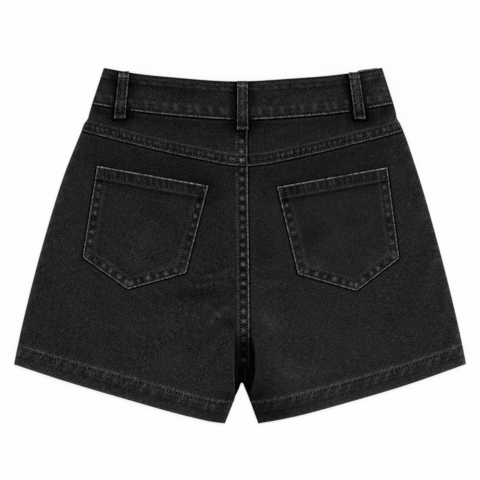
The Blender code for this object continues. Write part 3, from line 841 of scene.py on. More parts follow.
@dataclass(frozen=True)
class Drape:
    """Creases, painted lighter on the crest and darker at the foot, and washed patches and painted
    shadows of the leg backs and yokes.
    """

    in_from_side: Place = (1.0, 9.0)
    up_from_hem: Place = (8.0, 34.0)
    below_waist: Place = (2.0, 12.0)
    creases: tuple[Crease, ...] = (
        Crease((-7, -28), (-52, -40), 3, 3.4, 0.9, 7),
        Crease((-7, -48), (-66, -56), -4, 4.2, 1.0, 8),
        Crease((-8, -74), (-44, -104), -5, 4.0, 1.1, 8),
        Crease((-9, -90), (-62, -152), 4, 6.0, 1.2, 5),
        Crease((-10, -112), (-48, -176), 5, 5.0, 0.8, 4),
        Crease((-9, 62), (-44, 48), 3, 4.0, 0.5, 4),
        Crease((15, -32), (58, -22), -3, 4.0, 0.6, 4),
        Crease((16, -58), (66, -50), 4, 4.6, 0.8, 5),
        Crease((18, -84), (52, -120), 4, 8.0, 0.8, 3),
        Crease((20, -104), (74, -176), -6, 11.0, 1.2, 3),
        Crease((66, 122), (84, 132), 2, 2.2, 0.6, 9),
        Crease((68, 106), (73, 124), -1.5, 1.8, 0.5, 8),
        Crease((-186, 160), (-150, 146), 2, 3.2, 0.6, 5),
        Crease((196, 160), (158, 148), -2, 3.0, 0.6, 5),
        Crease((-60, 146), (-22, 136), 2, 5.0, 0.4, 3),
        Crease((34, 142), (86, 150), -2, 5.0, 0.4, 3),
        Crease((-232, 20), (-196, 44), 4, 7.0, 0.5, 3),
        Crease((236, 24), (204, 50), -4, 7.0, 0.5, 3),
        Crease((-226, -84), (-120, -104), -6, 9.0, 0.5, 2),
        Crease((92, -92), (206, -82), 6, 9.0, 0.5, 2),
    )
    # Washed patches, and painted shadows under the waistband's lower edge beside the loops and at
    # its ends.
    tone_and_shade_patches: tuple[ToneAndShadePatch, ...] = patches(
        (-78, 98, 52, 10, -10, -4), (56, 92, 36, 9, 8, -3), (130, 112, 60, 9, 14, -3),
        (-22, 84, 9, 12, 0, 4), (36, -104, 14, 26, 22, 4), (60, -148, 20, 34, 32, 3),
        (-25, -83, 14, 8, 0, 7), (-12, -97, 6, 7, 0, -12), (-31, -37, 20, 5, 8, 4),
        (-52, -60, 32, 8, 5, -11), (-44, -172, 14, 14, 20, 4), (257, -86, 7, 34, -13, 6),
        (-104, 42, 24, 10, -35, -5), (143, 30, 14, 7, 15, -6), (120, 8, 26, 12, 20, 3),
        (-150, -110, 60, 22, 15, 2), (150, -120, 80, 26, -10, 3), (-215, -20, 16, 60, 14, 2),
        (-66, 0, 10, 34, -14, -3), (24, 20, 10, 30, 0, -2), (-135, 163, 8, 4, -8, -14),
        (-13, 154, 7, 5, 0, -14), (21, 154, 8, 5, 0, -14), (121, 163, 8, 4, 8, -14),
        (-181, 171, 7, 4, -10, -14), (185, 170, 8, 4, 10, -14), (29, -51, 20, 12, 0, 3),
        (192, 158, 5, 9, 14, 9), (243, -20, 6, 44, -14, 7), (228, 50, 5, 40, -15, 5),
        (-202, -72, 12, 8, 30, 4), (-121, 5, 22, 14, 20, 3), (92, 13, 16, 12, 15, -8),
        (22, -192, 18, 20, 6, -20), (44, -214, 26, 13, 14, -18), (-11, -197, 10, 12, 0, -13),
        (-36, -214, 18, 9, -14, -9), (84, -160, 34, 14, 12, 7), (-88, -150, 48, 16, -8, 5),
        (42, -92, 22, 12, -25, 5), (-62, -92, 26, 10, 20, 4), (-40, 42, 17, 36, 0, -4),
        (36, -14, 22, 14, 0, -4), (-124, -24, 24, 8, -32, 6), (-82, -22, 24, 7, 16, 6),
        (98, -25, 24, 7, -16, 6), (168, -14, 24, 8, 32, 6), (-22, 116, 14, 14, 0, 5),
        (34, 78, 10, 5, 12, 7), (62, 88, 24, 4, 12, 5), (192, 118, 10, 20, -15, 5),
        (-36, 68, 12, 14, 0, -6), (61, 74, 10, 6, 0, -7), (140, 170, 7, 8, 0, -13),
        (156, 167, 7, 6, 0, -8), (10, 104, 4, 20, 0, -7), (2, 112, 4, 14, 0, 9),
        (-10, 108, 5, 6, 0, 8), (1, -22, 5, 12, 0, -8), (2, 48, 5, 10, 0, -7),
        (68, 110, 10, 5, 12, -7), (18, 108, 5, 16, 0, -7), (56, 52, 10, 10, 0, -5),
        (-145, 131, 12, 5, -12, -6), (4, -51, 6, 10, 0, -6), (-277, -120, 5, 18, 14, -8),
        (-24, -192, 10, 8, 0, -6), (50, 63, 8, 6, 0, -7), (62, 32, 8, 14, 0, -6),
        (-165, 83, 8, 6, 0, -8), (66, 110, 20, 5, 12, -6), (-61, 111, 10, 5, -12, -6),
        (-59, 78, 10, 6, 0, -6), (64, 172, 22, 5, 4, -5), (-158, -33, 14, 7, -35, 6),
        (189, -13, 8, 8, 14, 7), (31, 72, 10, 18, 0, -5), (280, -145, 4, 6, 0, 10),
        (66, 69, 18, 8, 12, -6), (169, 171, 8, 4, 10, -6), (169, 151, 7, 6, 0, -6),
        (-78, 112, 10, 4, -14, -5), (-62, 108, 8, 4, -14, -4), (-84, 82, 8, 5, 0, -6),
        (-26, 102, 8, 5, 0, -6), (188, 166, 8, 6, 10, 7), (-185, 163, 7, 5, -10, 7),
        (192, 148, 6, 6, 0, 7), (-228, -140, 12, 6, -16, -7), (254, -129, 10, 6, 16, -7),
        (-193, -16, 6, 6, 0, -8), (194, -19, 6, 6, 0, -6), (-29, -5, 14, 62, 0, -2.5),
        (32, -5, 13, 62, 0, -2), (272, -105, 5, 60, -13, 7), (4, 124, 6, 8, 0, 9),
        (5, 104, 5, 6, 0, 8), (9, 94, 5, 5, 0, -10), (-5, 94, 5, 5, 0, -8), (2, -22, 5, 7, 0, -8),
        (4, -64, 5, 6, 0, 7), (235, 48, 6, 18, -14, 8), (277, -136, 4, 14, -12, 8),
        (281, -147, 4, 4, 0, 9), (261, -142, 8, 6, 0, -7), (-275, -110, 4, 16, 14, -8),
        (-33, -162, 8, 6, 0, -7), (-28, -220, 8, 5, 0, -7), (72, -32, 6, 6, 0, -7),
        (139, -52, 7, 5, 0, -7), (14, -196, 8, 6, 0, -6), (52, -189, 10, 6, 14, -6),
    )

    def rise(self, x: Array, y: Array, cut: Cut) -> Array:
        """Raise the creases, which die away at the garment's edges.

        Args:
            x: Places across.
            y: Places up the garment.
            cut: The cut of the garment.

        Returns:
            Heights that they add.
        """
        height = np.zeros(np.shape(x))
        for crease in self.creases:
            height = height + crease.rise * crease.profile(x, y)[0]
        left, right = cut.side_x(Side.LEFT, y), cut.side_x(Side.RIGHT, y)
        sides = ease(x - left, *self.in_from_side) * ease(right - x, *self.in_from_side)
        ends = ease(y - cut.hem_y(x), *self.up_from_hem)
        ends = ends * ease(cut.waist_low.at(x) - y, *self.below_waist)
        return height * sides * ends

    def level(self, x: Array, y: Array) -> Array:
        """Add up the painted light and shade of the creases, the washed patches and the painted
        shadows.

        Args:
            x: Places across.
            y: Places up the garment.

        Returns:
            Levels that they add.
        """
        change = np.zeros(np.shape(x))
        for crease in self.creases:
            change = change + crease.tone * crease.profile(x, y)[1]
        for tone_and_shade_patch in self.tone_and_shade_patches:
            change = change + tone_and_shade_patch.level(x, y)
        return change


HEM = Seam(
    levels=((0, 30), (1.3, 48), (2.8, 46), (5, 40), (9, 37), (12, 30), (14.6, 43), (17, 34),
            (20, 42), (22, 34), (23.0, 37), (24.6, 42), (26.0, 68), (27.3, 46), (30, 36),
            (34, BODY_LEVEL)),
    rows=(23.2,), ridges=((26.2, 1.6, 0.3), (14.5, 2.2, 0.12)), wear=0.3, dots=1.1,
    puckers=(Puckers(15.5, 2.4, 9, 27, 0.26, 14, lean=0.5, seed=11),
             Puckers(7.0, 1.5, 21, 30, 0.16, 12, lean=0.5, seed=12),
             Puckers(5.2, 1.3, 16.5, 23.5, 0.05, 16, lean=0.3, seed=13)))
YOKE_FELL = Seam(
    levels=((0, 50), (1.3, 46), (2.5, 36), (3.7, 31), (5.0, 30), (7.4, 45), (9.2, 35), (10.7, 31),
            (11.8, 33), (13.3, 57), (15.0, 36), (16.7, BODY_LEVEL)),
    rows=(3.7, 10.8), ridges=((7.2, 2.6, 0.16), (13.3, 1.3, 0.14)), wear=0.42, dots=0.95,
    puckers=(Puckers(6.6, 1.35, 3.4, 11.2, 0.28, 31, lean=-0.15, seed=21),
             Puckers(10.0, 2.2, 0.0, 4.5, 0.1, 12, lean=0.3, seed=22)))
SEAT_FELL = Seam(
    levels=((0, 48), (1.2, 40), (2.8, 28), (4.2, 27), (6.6, 39), (8.6, 36), (10.4, 28),
            (11.8, 31), (13.5, 54), (15.0, 37), (17, BODY_LEVEL)),
    rows=(2.8, 11.0), ridges=((6.8, 2.6, 0.14), (13.6, 1.2, 0.16)), wear=0.85,
    puckers=(Puckers(11.8, 2.6, 3.2, 10.9, 0.36, 56, seed=31, wander=0.1),
             Puckers(3.9, 1.1, 11.6, 16.0, 0.06, 12, seed=32)))
BAND_TOP = Seam(
    levels=((0, 4), (1.2, 15), (2.4, 28), (4.6, 43), (7.3, 28), (9, 29), (10.6, 41), (13.2, 21),
            (15, 26), (20, 30), (30, BODY_LEVEL)),
    rows=(2.2,), ridges=((10.2, 1.6, 0.14),), wear=0.2, dots=1.3,
    puckers=(Puckers(11.0, 3.0, 6.5, 14, 0.16, 12, lean=0.6, seed=41),
             Puckers(5.0, 1.2, 0.5, 7.0, 0.1, 9, lean=0.3, seed=42)))
BAND_LOW = Seam(
    levels=((0, 46), (1.2, 38), (2.4, 28), (3.4, 26), (4.4, 28), (5.8, 42), (8.5, 34), (12.5, 42),
            (15.5, 31), (19, BODY_LEVEL)),
    rows=(2.8,), ridges=((12.0, 3.0, 0.12),), wear=0.8, dots=1.2,
    puckers=(Puckers(13.4, 2.6, 3.6, 16.0, 0.36, 20, lean=-0.2, seed=43),))
POCKET_SIDE = Seam(
    levels=((0, 48), (1.1, 38), (2.4, 28), (3.6, 30), (6, 38), (8, 32), (9.8, 34), (11.3, 33),
            (12.7, 47), (14.5, 33), (18, 31), (26, BODY_LEVEL)),
    rows=(2.6, 9.9), ridges=((6.2, 2.2, 0.12), (12.9, 1.2, 0.12)), wear=0.78, dots=0.7,
    puckers=(Puckers(11.8, 2.6, 2.6, 10.0, 0.36, 36, seed=51, wander=0.1),))
POCKET_TOP = Seam(
    levels=((0, 50), (1.2, 44), (2.8, 27), (4, 26), (6, 32), (8, 30), (10.1, 28), (11.5, 32),
            (12.9, 34), (14.5, 52), (15.5, 34), (17.2, 14), (19.4, 24), (22, 30), (30, BODY_LEVEL)),
    rows=(10.1, 12.9), ridges=((14.4, 1.1, 0.2),), wear=1.2, dots=0.45,
    puckers=(Puckers(7.4, 1.5, 1.0, 13.0, 0.18, 20, lean=0.2, seed=52),))
LOOP_SIDE = Seam(
    levels=((0, 27), (1.0, 27), (2.3, 22), (3.6, 26), (5.0, 33), (7, 41)),
    rows=(2.4,), ridges=((7.0, 2.4, 0.1),), wear=0.45, groove=0.12, dots=0.8,
    puckers=(Puckers(9.0, 3.6, 3.0, 12.0, 0.05, 10, seed=81),
             Puckers(7.0, 3.4, -1.0, 1.6, 0.02, 12, seed=82)))
# The outer edges are lighter towards the roll: painted light where it wraps round the rolled edge,
# with a little worn grey.
SIDE_EDGE = Seam(
    levels=((0, 46), (1.6, 45), (3.4, 40), (6, 35), (10, BODY_LEVEL)), wear=0.3,
    puckers=(Puckers(17.0, 4.5, -4, 11, 0.12, 9, lean=0.4, seed=71),))
PLAIN_HEM = Seam(
    levels=((0, 46), (2, 40), (6, 36), (16, 34), (19.5, 30), (22, 44), (25, BODY_LEVEL)),
    rows=(19.5,), ridges=((22, 1.6, 0.2),), wear=0.3,
    puckers=(Puckers(13.0, 3.0, 6, 24, 0.1, 5, lean=0.6, seed=61),))

FRONT_SEAM = Seam(
    levels=((0, 44), (1.5, 38), (4, 30), (7, 38), (11, BODY_LEVEL)), rows=(4.0,),
    ridges=((6.5, 2.0, 0.1),), wear=0.7)

# Painted shade under the waistband's and the yoke's lower edges, and painted shadows beside the
# back loops and round their feet.
UNDER_BAND = Edge((
    (0, 33), (4, 32), (5.4, 26), (7.5, 22), (10, 23), (15, 26), (24, 28), (60, 28)), True)
UNDER_YOKE = Edge((
    (0, 33), (4, 33), (6, 29), (14, 29.5), (26, 31), (48, BODY_LEVEL), (500, BODY_LEVEL)), True)
BY_A_LOOP = Edge(((0, 10), (3, 14), (6, 20), (9, 27), (13, BODY_LEVEL), (FAR, BODY_LEVEL)), True)
RIGHT_OF_LOOP = Edge((
    (0, 16), (2, 17), (5, 18), (7, 22), (10, 28), (13, BODY_LEVEL), (FAR, BODY_LEVEL)), True)
BY_LOOP_FOOT = Edge(((0, -4), (2, -8), (5, -9), (8, -7), (13, 0), (FAR, 0)), True)
HEM_WANDER = Edge((
    (-282, -1.2), (-257, -0.8), (-231, 0), (-179, 1.0), (-101, 2.0), (-75, 1.4), (-49, 0.4),
    (0, 0), (53, -0.4), (79, 0.3), (183, 0), (209, -0.5), (261, -1.0), (282, -1.4)), True)
OVER_POCKET = Edge((
    (0, 20), (3, 24), (9, 28), (20, 31.5), (40, BODY_LEVEL), (400, BODY_LEVEL)), True)

LOOP_FOOT = Edge((
    (0, 14), (1.3, 24), (2.6, 12), (3.8, 6), (4.8, -4), (7, -7), (10, -6), (14, 0), (200, 0)), True)
LOOP_TACK = Edge(((-3.0, 0), (-1.5, -14), (0, -26), (1.5, -14), (3.0, 0)), True)
LOOP_TOP = Edge((
    (0, 4), (1.6, -4), (3.2, 16), (5.4, 26), (7.6, 24), (9.6, 4), (12, -4), (14, 0),
    (200, 0)), True)


# Cloth shells


@dataclass
class Marks:
    """What the finish reads at each point of a grid of cloth."""

    # level is how many levels lighter the cloth is, from its wash and from painted light and shade;
    # dark is the share of brightness that it keeps in painted shade; edge and wear measure its worn
    # fold; cover is the distance to a covering edge, for its painted shadow; row, beat, cross_row
    # and cross_beat place the stitches; weave is how strongly the twill shows.
    level: Array
    dark: Array
    edge: Array
    wear: Array
    cover: Array
    row: Array
    beat: Array
    cross_row: Array
    cross_beat: Array
    weave: float = 1.0

    @classmethod
    def plain(cls, shape: tuple[int, ...]) -> "Marks":
        """Marks of plain cloth that is far from every seam."""
        far = [np.full(shape, FAR) for _ in range(6)]
        return cls(np.zeros(shape), np.ones(shape), far[0], np.zeros(shape), *far[1:])

    def sew(self, seam: Seam, across: Array, along: Array, cross: bool = False,
            where: Array | bool = True) -> None:
        """Add a seam.

        Args:
            seam: The seam.
            across: Distances in from its folded edge.
            along: Places along it.
            cross: Whether it crosses this piece's main seam.
            where: The places that the seam reaches.
        """
        self.level = self.level + np.where(where, seam.level(across, along), 0.0)
        closer = (across < self.edge) & where
        self.edge = np.where(closer, across, self.edge)
        self.wear = np.where(closer, seam.wear, self.wear)
        if seam.rows:
            row = np.where(where, seam.row(across), FAR)
            if cross:
                self.cross_row, self.cross_beat = row, along
            else:
                self.row, self.beat = row, along

    def shade(self, distance: Array) -> None:
        """Bring a covering piece's edge to the distances, which are negative under it."""
        self.cover = np.minimum(self.cover, np.maximum(distance, -3.0))

    def named(self) -> dict[str, Array]:
        """Gather the marks.

        Returns:
            Values by the name that the finish reads them under.
        """
        tone = light(BODY_LEVEL + self.level) / light(BODY_LEVEL) * self.dark
        kept = {name: getattr(self, name) for name in SEWN.values()}
        return kept | {"tone": tone, "fold": np.maximum(self.edge, 0.0),
                       "wear": self.wear * self.dark**2, "weave": np.full(tone.shape, self.weave)}


@dataclass
class Shell:
    """A closed cloth wall made from matching grids of outer and inner points."""

    name: str
    outer: list[Array] = field(default_factory=list)
    inner: list[Array] = field(default_factory=list)
    values: list[dict[str, Array]] = field(default_factory=list)
    cloth: list[Array] = field(default_factory=list)
    quads: list[Array] = field(default_factory=list)
    count: int = 0

    def lay(self, outer: Array, inner: Array, marks: Marks, cloth: Array) -> Array:
        """Add a grid of points.

        Args:
            outer: Points of the good face, in rows and columns.
            inner: Matching points of the other face.
            marks: What the finish reads at them.
            cloth: Their places in the uncut cloth.

        Returns:
            The numbers of the points, in the same rows and columns.
        """
        shape = outer.shape[:2]
        numbers = self.count + np.arange(shape[0] * shape[1]).reshape(shape)
        self.count += numbers.size
        self.outer.append(outer.reshape(-1, 3))
        self.inner.append(inner.reshape(-1, 3))
        self.cloth.append(cloth.reshape(-1, 3))
        self.values.append({name: np.ravel(value) for name, value in marks.named().items()})
        return numbers

    def knit(self, numbers: Array) -> None:
        """Join rows of point numbers into faces."""
        corners = (numbers[:-1, :-1], numbers[:-1, 1:], numbers[1:, 1:], numbers[1:, :-1])
        self.quads.append(np.stack(corners, axis=-1).reshape(-1, 4))

    def build(self, finish: Material) -> Piece:
        """Close the rim and make the piece.

        Args:
            finish: The finish that reads the marks.

        Returns:
            The piece, whose points carry the marks.
        """
        quads = np.concatenate(self.quads)
        used, flat = np.unique(quads, return_inverse=True)
        quads = flat.reshape(-1, 4)
        count = len(used)
        sides = np.concatenate([quads[:, [i, (i + 1) % 4]] for i in range(4)])
        _, first, times = np.unique(np.sort(sides, axis=1), axis=0, return_index=True,
                                    return_counts=True)
        rim = sides[first[times == 1]]
        rim = np.stack([rim[:, 1], rim[:, 0], rim[:, 0] + count, rim[:, 1] + count], axis=-1)
        faces = np.concatenate([quads, quads[:, ::-1] + count, rim])
        grids = (np.concatenate(grids)[used] for grids in (self.outer, self.inner))
        piece = make_piece(self.name, np.concatenate(list(grids)), faces.tolist(), finish)
        for name in self.values[0]:
            value = np.concatenate([grid[name] for grid in self.values])[used]
            mark = piece.data.attributes.new(name, "FLOAT", "POINT")
            mark.data.foreach_set("value", np.tile(value, 2).astype(np.float32))
        cloth = np.tile(np.concatenate(self.cloth)[used], (2, 1)).astype(np.float32)
        place = piece.data.attributes.new("cloth", "FLOAT_VECTOR", "POINT")
        place.data.foreach_set("vector", cloth.ravel())
        return piece


def cloth_place(x: Array, y: Array, grain: float, bolt: float) -> Array:
    """Place in the uncut cloth of points on a piece whose grain is turned by some degrees."""
    return np.stack([*turned(x, y, grain), np.full(np.shape(x), bolt)], axis=-1)


def stack(places: Array, height: Array) -> Array:
    """Points from places in plan and heights."""
    return np.concatenate([places, height[..., None]], axis=-1)


@dataclass(frozen=True)
class Section:
    """How the columns of a leg panel are spaced and how its edges roll."""

    cut: Cut
    middle: int
    angles: tuple[float, ...] = (0, 20, 40, 60, 76, 90)
    start: tuple[float, ...] = (1.9, 2.7, 3.7, 5.0, 6.7, 8.8)
    end: tuple[float, ...] = (1.8, 2.4, 3.1, 4, 5, 6, 7.2, 8.6, 10.2, 12, 14, 16)

    def edge(self, beyond: tuple[float, ...], roll: Array, widths: Array) -> tuple[Array, ...]:
        """Space out the columns at one edge.

        Args:
            beyond: Distances from the edge of the columns past its bend.
            roll: Share of a full roll, by row.
            widths: Width of the panel, by row.

        Returns:
            Shares across of the outer and of the inner points, and shares of full height.
        """
        radius, cloth = self.cut.edge_round, self.cut.cloth
        bends = np.radians(self.angles)
        outer = np.concatenate([radius * (1 - np.cos(bends)), beyond])
        inner = np.concatenate([radius - (radius - cloth) * np.cos(bends), beyond])
        lift = np.concatenate([np.sin(bends), np.ones(len(beyond))])
        share = roll[:, None]
        outer_u = np.broadcast_to(outer, (len(roll), len(outer))) / widths
        return outer_u, mix(outer, inner, share) / widths, 1 - share * (1 - lift)

    def places(self, panel: Panel, v: Array, end_roll: Array) -> tuple[Array, Array, Array]:
        """Work out the columns of every row.

        Args:
            panel: The flat plan.
            v: Shares down the panel, one for each row.
            end_roll: Share of a full roll at the end edge of each row.

        Returns:
            Outer places, inner places and shares of full height, by row and column.
        """
        widths = panel.widths(v)[:, None]
        near = self.edge(self.start, np.ones(len(v)), widths)
        far = [columns[:, ::-1] for columns in self.edge(self.end, end_roll, widths)]
        span = np.linspace(0, 1, self.middle + 2)[1:-1]
        middle = mix(near[0][:, -1:], 1 - far[0][:, :1], span[None, :])
        outer_u = np.concatenate([near[0], middle, 1 - far[0]], axis=1)
        inner_u = np.concatenate([near[1], middle, 1 - far[1]], axis=1)
        height = np.concatenate([near[2], np.ones_like(middle), far[2]], axis=1)
        down = np.broadcast_to(v[:, None], outer_u.shape)
        return panel.at(outer_u, down), panel.at(inner_u, down), height


# Finishes


@dataclass(frozen=True)
class Board:
    """A node tree with a short way to add nodes and join them."""

    tree: bpy.types.NodeTree

    def feed(self, node: bpy.types.Node, inputs: dict) -> None:
        """Give a node's inputs their values or join them to sockets.

        Args:
            node: The node.
            inputs: Values or sockets, by name or number of the input.
        """
        for key, value in inputs.items():
            if isinstance(value, Socket):
                self.tree.links.new(value, node.inputs[key])
            else:
                node.inputs[key].default_value = value

    def add(self, kind: str, inputs: dict | None = None, **settings: object) -> bpy.types.Node:
        """Add a node.

        Args:
            kind: The node's type name.
            inputs: Values or sockets for its inputs, by name or number.
            settings: Properties of the node.

        Returns:
            The new node.
        """
        node = self.tree.nodes.new(kind)
        for name, value in settings.items():
            setattr(node, name, value)
        self.feed(node, inputs or {})
        return node

    def math(self, operation: str, *values: object, clamp: bool = False) -> Socket:
        """Result of a Math node."""
        settings = {"operation": operation, "use_clamp": clamp}
        return self.add("ShaderNodeMath", dict(enumerate(values)), **settings).outputs[0]

    def vector(self, operation: str, *values: object, output: str = "Vector") -> Socket:
        """Result of a Vector Math node."""
        node = self.add("ShaderNodeVectorMath", dict(enumerate(values)), operation=operation)
        return node.outputs[output]

    def mark(self, name: str, output: str = "Fac") -> Socket:
        """Value of a mark that the piece's points carry."""
        node = self.add("ShaderNodeAttribute", attribute_type="GEOMETRY", attribute_name=name)
        return node.outputs[output]

    def soft_step(self, value: Socket, low: float, high: float, start: float, end: float) -> Socket:
        """Go softly from start, at low, to end, at high."""
        inputs = dict(enumerate((value, low, high, start, end)))
        return self.add("ShaderNodeMapRange", inputs, interpolation_type="SMOOTHSTEP").outputs[0]

    def noise(self, place: Socket, scale: tuple[float, ...], detail: float,
              roughness: float = 0.55) -> Socket:
        """Make smooth noise.

        Args:
            place: Where it is read.
            scale: Its fineness along each axis.
            detail: How many finer layers it has.
            roughness: How strong they are.

        Returns:
            Values about 0.5.
        """
        inputs = {"Vector": self.vector("MULTIPLY", place, scale), "Scale": 1.0, "Detail": detail,
                  "Roughness": roughness}
        return self.add("ShaderNodeTexNoise", inputs).outputs[0]

    def swing(self, value: Socket, size: float) -> Socket:
        """A noise value as a change about 0 of the given size."""
        return self.math("MULTIPLY", self.math("SUBTRACT", value, 0.5), size)

    def tint(self, share: Socket, colour: tuple[float, ...] = (1.0, 1.0, 1.0)) -> Socket:
        """Colour that goes from black, at 0, to the given one."""
        inputs = {0: share, 6: (0.0, 0.0, 0.0, 1.0), 7: (*colour, 1.0)}
        return self.add("ShaderNodeMix", inputs, data_type="RGBA").outputs[2]

    def bump(self, height: Socket, strength: float, distance: float) -> Socket:
        """Normal of a surface with fine relief."""
        inputs = {"Strength": strength, "Distance": distance, "Height": height}
        return self.add("ShaderNodeBump", inputs).outputs[0]


def shader_group(name: str, takes: Iterable[str], gives: Iterable[str]) -> tuple:
    """Start a shader node group that reads places in the cloth.

    Args:
        name: The group's name.
        takes: Names of the values that it reads besides the places.
        gives: Names of the values that it puts out.

    Returns:
        Its board, its inputs by name and its output node.
    """
    tree = bpy.data.node_groups.new(name, "ShaderNodeTree")
    tree.interface.new_socket("Cloth", in_out="INPUT", socket_type="NodeSocketVector")
    for labels, way in ((takes, "INPUT"), (gives, "OUTPUT")):
        for label in labels:
            tree.interface.new_socket(label, in_out=way, socket_type="NodeSocketFloat")
    board = Board(tree)
    return board, board.add("NodeGroupInput").outputs, board.add("NodeGroupOutput")


SEWN = {"Cover": "cover", "Row": "row", "Beat": "beat", "Cross Row": "cross_row",
        "Cross Beat": "cross_beat"}


@dataclass(frozen=True)
class TwillWeave:
    """Washed twill: fine ribs that climb to the right, with uneven yarns and cloudy wear."""

    turn: float = 51.0
    pitch: float = 0.95
    ribs: float = 0.30
    rib_sway: float = 5.0
    yarn: float = 2.5
    slub: float = 5.0
    fleck: float = 8.0
    fleck_from: float = 0.57
    mean: float = 0.925
    darkest: float = 0.12
    mottle: float = 0.7
    cloud: float = 0.6
    rib_height: float = 0.55
    yarn_height: float = 0.9

    def group(self) -> bpy.types.NodeTree:
        """Make the node group, which reads places in the cloth in millimetres.

        Returns:
            The group, which puts out how light the weave is and how high it stands.
        """
        board, given, end = shader_group("TwillWeave", ("Weave",), ("Light", "Height"))
        angle = {"Vector": given["Cloth"], "Angle": -math.radians(self.turn)}
        spun = board.add("ShaderNodeVectorRotate", angle, rotation_type="Z_AXIS").outputs[0]
        yarns = board.noise(spun, (0.16, 1.0, 1.0), 1.0, 0.6)
        slubs = board.noise(spun, (0.80, 0.88, 1.0), 0.5, 0.5)
        flecks = board.noise(spun, (0.16, 0.9, 2.0), 1.0, 0.5)
        mottle = board.noise(spun, (0.09, 0.18, 1.0), 2.0, 0.6)
        cloud = board.noise(given["Cloth"], (0.030, 0.024, 1.0), 2.5)
        bend = board.noise(spun, (0.16, 0.16, 1.0), 1.0)
        across = board.add("ShaderNodeSeparateXYZ", {0: spun}).outputs["Y"]
        phase = board.math("ADD", board.math("MULTIPLY", across, 2 * math.pi / self.pitch),
                           board.math("MULTIPLY", bend, self.rib_sway))
        rib = board.math("MULTIPLY_ADD", board.math("SINE", phase), 0.5, 0.5)
        total = board.math("ADD", board.swing(slubs, self.slub), board.swing(yarns, self.yarn))
        bright = board.math("MAXIMUM", board.math("SUBTRACT", flecks, self.fleck_from), 0.0)
        total = board.math("MULTIPLY_ADD", bright, self.fleck, total)
        for value, size in ((mottle, self.mottle), (cloud, self.cloud), (rib, self.ribs)):
            total = board.math("ADD", total, board.swing(value, size))
        total = board.math("MULTIPLY_ADD", total, given["Weave"], self.mean)
        height = board.math("ADD", board.math("MULTIPLY", rib, self.rib_height),
                            board.math("MULTIPLY", yarns, self.yarn_height))
        board.feed(end, {"Light": board.math("MAXIMUM", total, self.darkest), "Height": height})
        return board.tree


@dataclass(frozen=True)
class WornFold:
    """Greying of a folded edge, broken up along its length."""

    reach: float = 1.5
    core: float = 0.35
    mean: float = 0.95
    rub: float = 7.5
    lint: float = 4.0
    least: float = 0.08

    def group(self) -> bpy.types.NodeTree:
        """Make the node group, which reads the distance from the fold and how worn it is.

        Returns:
            The group, which puts out a mask.
        """
        board, given, end = shader_group("WornFold", ("Fold", "Wear"), ("Mask",))
        rub = board.swing(board.noise(given["Cloth"], (0.33, 0.33, 1.0), 2.0, 0.6), self.rub)
        lint = board.swing(board.noise(given["Cloth"], (1.1, 1.1, 1.0), 1.0), self.lint)
        band = board.soft_step(given["Fold"], self.core, self.reach, 1.0, 0.0)
        share = board.math("ADD", rub, board.math("ADD", self.mean, lint))
        mask = board.math("MULTIPLY", band, board.math("MAXIMUM", share, self.least))
        board.feed(end, {"Mask": board.math("MULTIPLY", mask, given["Wear"])})
        return board.tree


@dataclass(frozen=True)
class SeamShadow:
    """Painted shadow beside a covering edge, and darker dots along each row of stitches for its
    black thread and the painted shade of its dimples.
    """

    black: float = 0.08
    full: float = 1.1
    reach: float = 3.6
    row_core: float = 0.4
    row_half: float = 1.15
    pitch: float = 3.75
    dimple: float = 2.4
    darker: float = 0.12
    drift: float = 9.0

    def group(self) -> bpy.types.NodeTree:
        """Make the node group, which reads the distances.

        Returns:
            The group, which puts out a share of the colour.
        """
        board, given, end = shader_group("SeamShadow", SEWN, ("Share",))
        share = board.soft_step(given["Cover"], self.full, self.reach, self.black, 1.0)
        drift = board.swing(board.noise(given["Cloth"], (0.16, 0.16, 1.0), 2.0), self.drift)
        for cross in ("", "Cross "):
            away = board.math("ABSOLUTE", given[cross + "Row"])
            window = board.soft_step(away, self.row_core, self.row_half, self.dimple, 0.0)
            turns = board.math("MULTIPLY", given[cross + "Beat"], 2 * math.pi / self.pitch)
            wave = board.math("SINE", board.math("ADD", turns, drift))
            wave = board.math("SUBTRACT", wave, self.darker)
            share = board.math("MULTIPLY", share, board.math("MULTIPLY_ADD", wave, window, 1.0))
        board.feed(end, {"Share": share})
        return board.tree


@dataclass(frozen=True)
class Finish:
    """What every finish has: its name, roughness and how strongly it shines."""

    name: str
    roughness: float
    shine: float

    def start(self) -> tuple[Material, Board, bpy.types.Node]:
        """Start the material.

        Returns:
            The material, its board and its shader, with the fixed values set.
        """
        material = bpy.data.materials.new(self.name)
        material.use_nodes = True
        board = Board(material.node_tree)
        shader = material.node_tree.nodes["Principled BSDF"]
        board.feed(shader, {"Roughness": self.roughness, "Specular IOR Level": self.shine})
        return material, board, shader


